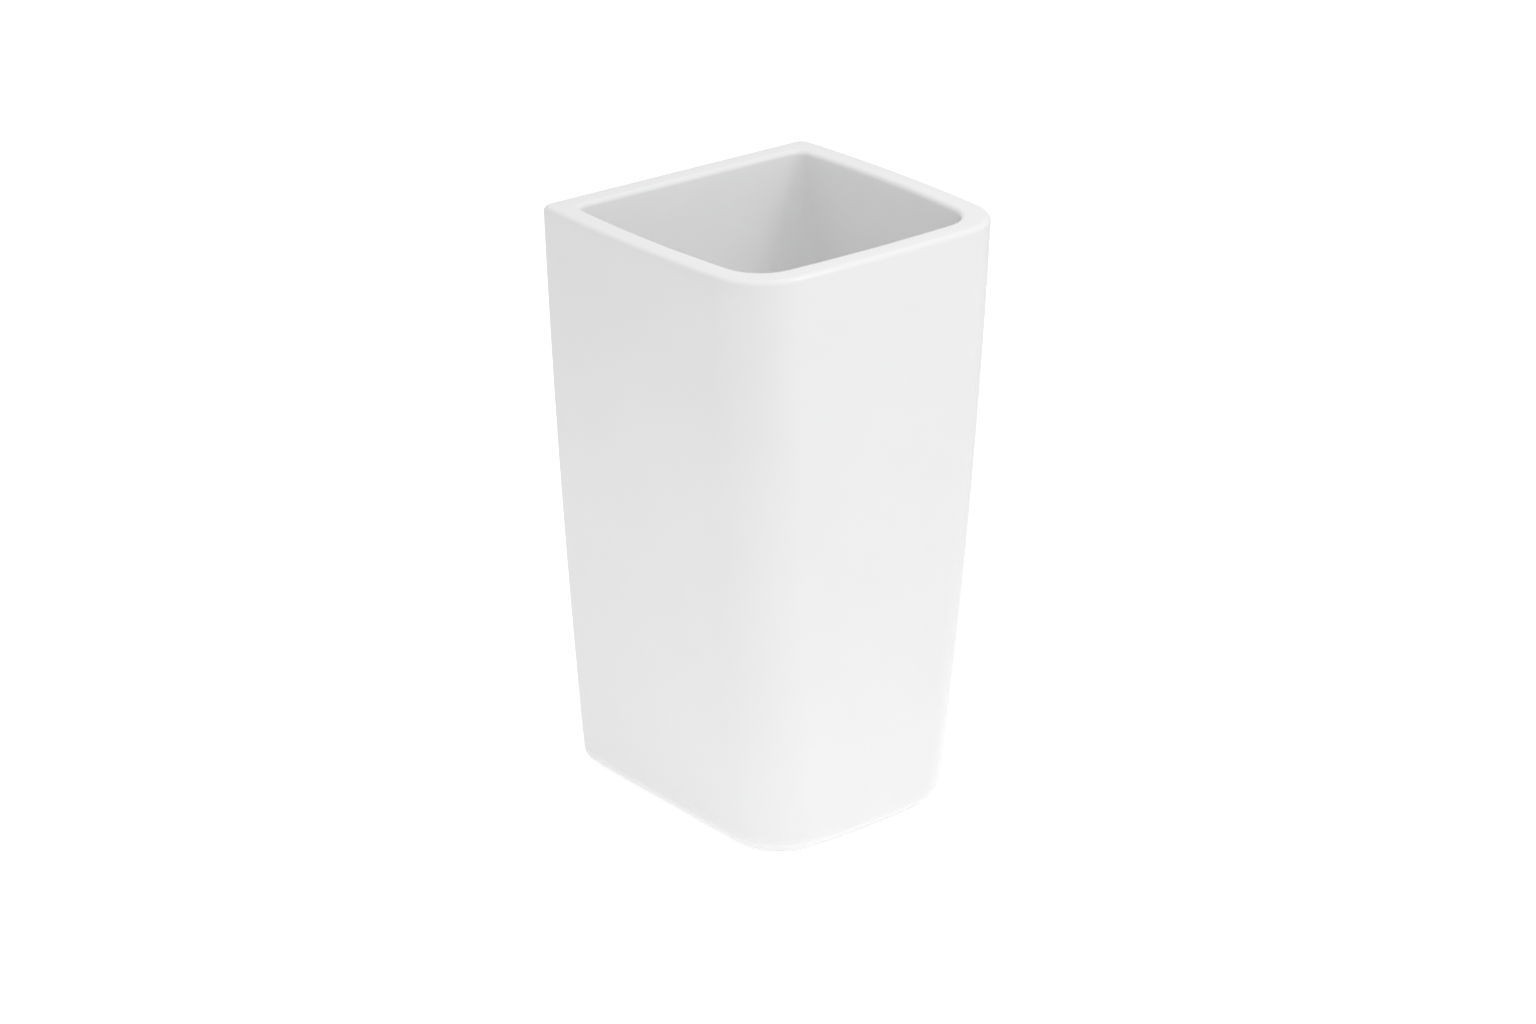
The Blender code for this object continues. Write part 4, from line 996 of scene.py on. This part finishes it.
def build_outlet():
    near, far = (corner.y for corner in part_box("outlet_pipe"))
    length = far - near
    pipe = turned("outlet_pipe", rounded([(PIPE_BORE_R, 0.0), (PIPE_R, 0.0), (PIPE_R, length),
                                          (PIPE_BORE_R, length)], 0.0004), "chrome")
    along_y(pipe, near, OUTLET_Z)
    along_y(cone_washer("outlet_cone"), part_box("outlet_cone")[0].y, OUTLET_Z)
    along_y(slip_nut("outlet_slip_nut", SOCKET_R + GAP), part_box("outlet_slip_nut")[0].y, OUTLET_Z)
    near, far = (corner.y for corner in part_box("wall_rosette"))
    depth = far - near
    front = flowing([(0.0172, 0.0002), (0.0200, 0.0000), (0.0232, 0.0006), (0.0270, 0.0028), (0.0300, 0.0064),
                     (0.0325, 0.0112), (0.0340, 0.0136), (0.0350, 0.0142)], 6)
    back = flowing([(0.0349, depth), (0.0330, depth - 0.0002), (0.0314, 0.0120), (0.0290, 0.0074),
                    (0.0262, 0.0040), (0.0228, 0.0017), (0.0200, 0.0010), (0.0174, 0.0011)], 6)
    rosette = turned("wall_rosette", [(PIPE_HOLE_R, 0.0007)] + front + back, "chrome")
    along_y(rosette, near, OUTLET_Z)


build_waste()
build_seals()
build_cartridge()
build_spring()
build_plug()
build_inlet()
build_trap_body()
build_cup()
build_outlet()


# ---------------------------------------------------------------- stage, light and camera

WORLD_LIGHT = 0.79
SEEN_GLOWS = (               # centre, distance over which it stays full, distance at which it ends, strength
    ((0.0, 0.0, 0.0), 6.5, 11.0, 0.42),
)
BOUNCE_GLOWS = (
    ((-1.0, 0.0, 0.0), 0.5, 1.9, 0.27),
    ((0.2, -0.8, 0.0), 0.3, 1.6, 0.16),
)
SOFTBOXES = (                # name, azimuth, distance, height, size, brightness, height aimed at, in gloss
    ("key_right", 42, 1.6, 2.8, 1.5, 1.75, 0.4, False),
    ("key_front", -8, 1.6, 2.8, 1.5, 1.75, 0.4, False),
    ("glint", 38, 2.0, 2.7, 0.5, 2.8, 0.4, True),
)
FLOOR_HALF = 30.0
FLOOR_COLOUR = (0.92, 0.92, 0.92, 1.0)
WHITE = (1.0, 1.0, 1.0, 1.0)
SENSOR_WIDTH = 36.0
LENS = 91.9
CAMERA_AZIMUTH = -39.4
CAMERA_ELEVATION = 23.0
CAMERA_DISTANCE = 5.383
AIM = Vector((0.0, 0.011, 0.4122))
AIM_RIGHT = -0.0063          # how far the aim is shifted across the view


def floor_material(name, glows):
    """A white table lit from below by soft round glows."""
    table = Nodes(name)
    table.set(Base_Color=FLOOR_COLOUR, Roughness=0.9, Emission_Color=WHITE)
    total = None
    for centre, full, reach, strength in glows:
        distance = table.add("ShaderNodeVectorMath", operation="DISTANCE")
        distance.inputs[1].default_value = centre
        table.join(table.place, distance.inputs[0])
        glow = table.span(distance.outputs["Value"], strength, 0.0, full, reach, "SMOOTHSTEP")
        total = table.plus(total, glow) if total else glow
    table.join(total, table.shader.inputs["Emission Strength"])
    return table.material


def add_floor(name, glows, gap, seen):
    """One layer of the floor: either the one the camera sees, or the one that lights the object."""
    mesh = bpy.data.meshes.new(name)
    half = FLOOR_HALF
    corners = [(-half, -half, 0), (half, -half, 0), (half, half, 0), (-half, half, 0)]
    mesh.from_pydata(corners, [], [(0, 1, 2, 3)])
    mesh.materials.append(floor_material(name, glows))
    floor = bpy.data.objects.new(name, mesh)
    floor.location.z = BASIN_LOW.z - gap
    bpy.context.scene.collection.objects.link(floor)
    floor.visible_camera = seen
    floor.visible_shadow = not seen
    floor.visible_diffuse = not seen
    floor.visible_glossy = not seen


def build_floor():
    """A white floor that looks even, and lights the object less strongly than it looks."""
    add_floor("floor_seen", SEEN_GLOWS, 0.0005, True)
    add_floor("floor_bounce", BOUNCE_GLOWS, 0.001, False)


def add_softbox(name, azimuth, distance, height, size, radiance, aim_z, in_gloss):
    """A square area light that the camera doesn't see.  radiance is the brightness of its face."""
    light = bpy.data.lights.new(name, "AREA")
    light.size = size
    light.energy = radiance * pi * size ** 2
    box = bpy.data.objects.new(name, light)
    bpy.context.scene.collection.objects.link(box)
    ground = direction_from(azimuth, 0.0) * distance
    box.location = (ground.x, ground.y, height)
    box.rotation_euler = (box.location - Vector((0.0, 0.0, aim_z))).to_track_quat("Z", "Y").to_euler()
    box.visible_camera = False
    box.visible_glossy = in_gloss


def build_light():
    world = bpy.data.worlds.new("studio")
    world.use_nodes = True
    backdrop = world.node_tree.nodes["Background"]
    backdrop.inputs["Color"].default_value = WHITE
    backdrop.inputs["Strength"].default_value = WORLD_LIGHT
    bpy.context.scene.world = world
    bpy.context.scene.view_settings.view_transform = "Standard"
    for softbox in SOFTBOXES:
        add_softbox(*softbox)


def direction_from(azimuth, elevation):
    """Unit vector towards a viewer: azimuth 0 stands in front, and grows towards +X."""
    az, el = radians(azimuth), radians(elevation)
    return Vector((sin(az) * cos(el), -cos(az) * cos(el), sin(el)))


def build_camera():
    data = bpy.data.cameras.new("camera")
    data.sensor_width = SENSOR_WIDTH
    data.lens = LENS
    camera = bpy.data.objects.new("camera", data)
    bpy.context.scene.collection.objects.link(camera)
    back = direction_from(CAMERA_AZIMUTH, CAMERA_ELEVATION)
    right = Vector((cos(radians(CAMERA_AZIMUTH)), sin(radians(CAMERA_AZIMUTH)), 0.0))
    aim = AIM + right * AIM_RIGHT
    camera.location = aim + back * CAMERA_DISTANCE
    camera.rotation_euler = back.to_track_quat("Z", "Y").to_euler()
    bpy.context.scene.camera = camera


build_floor()
build_light()
build_camera()
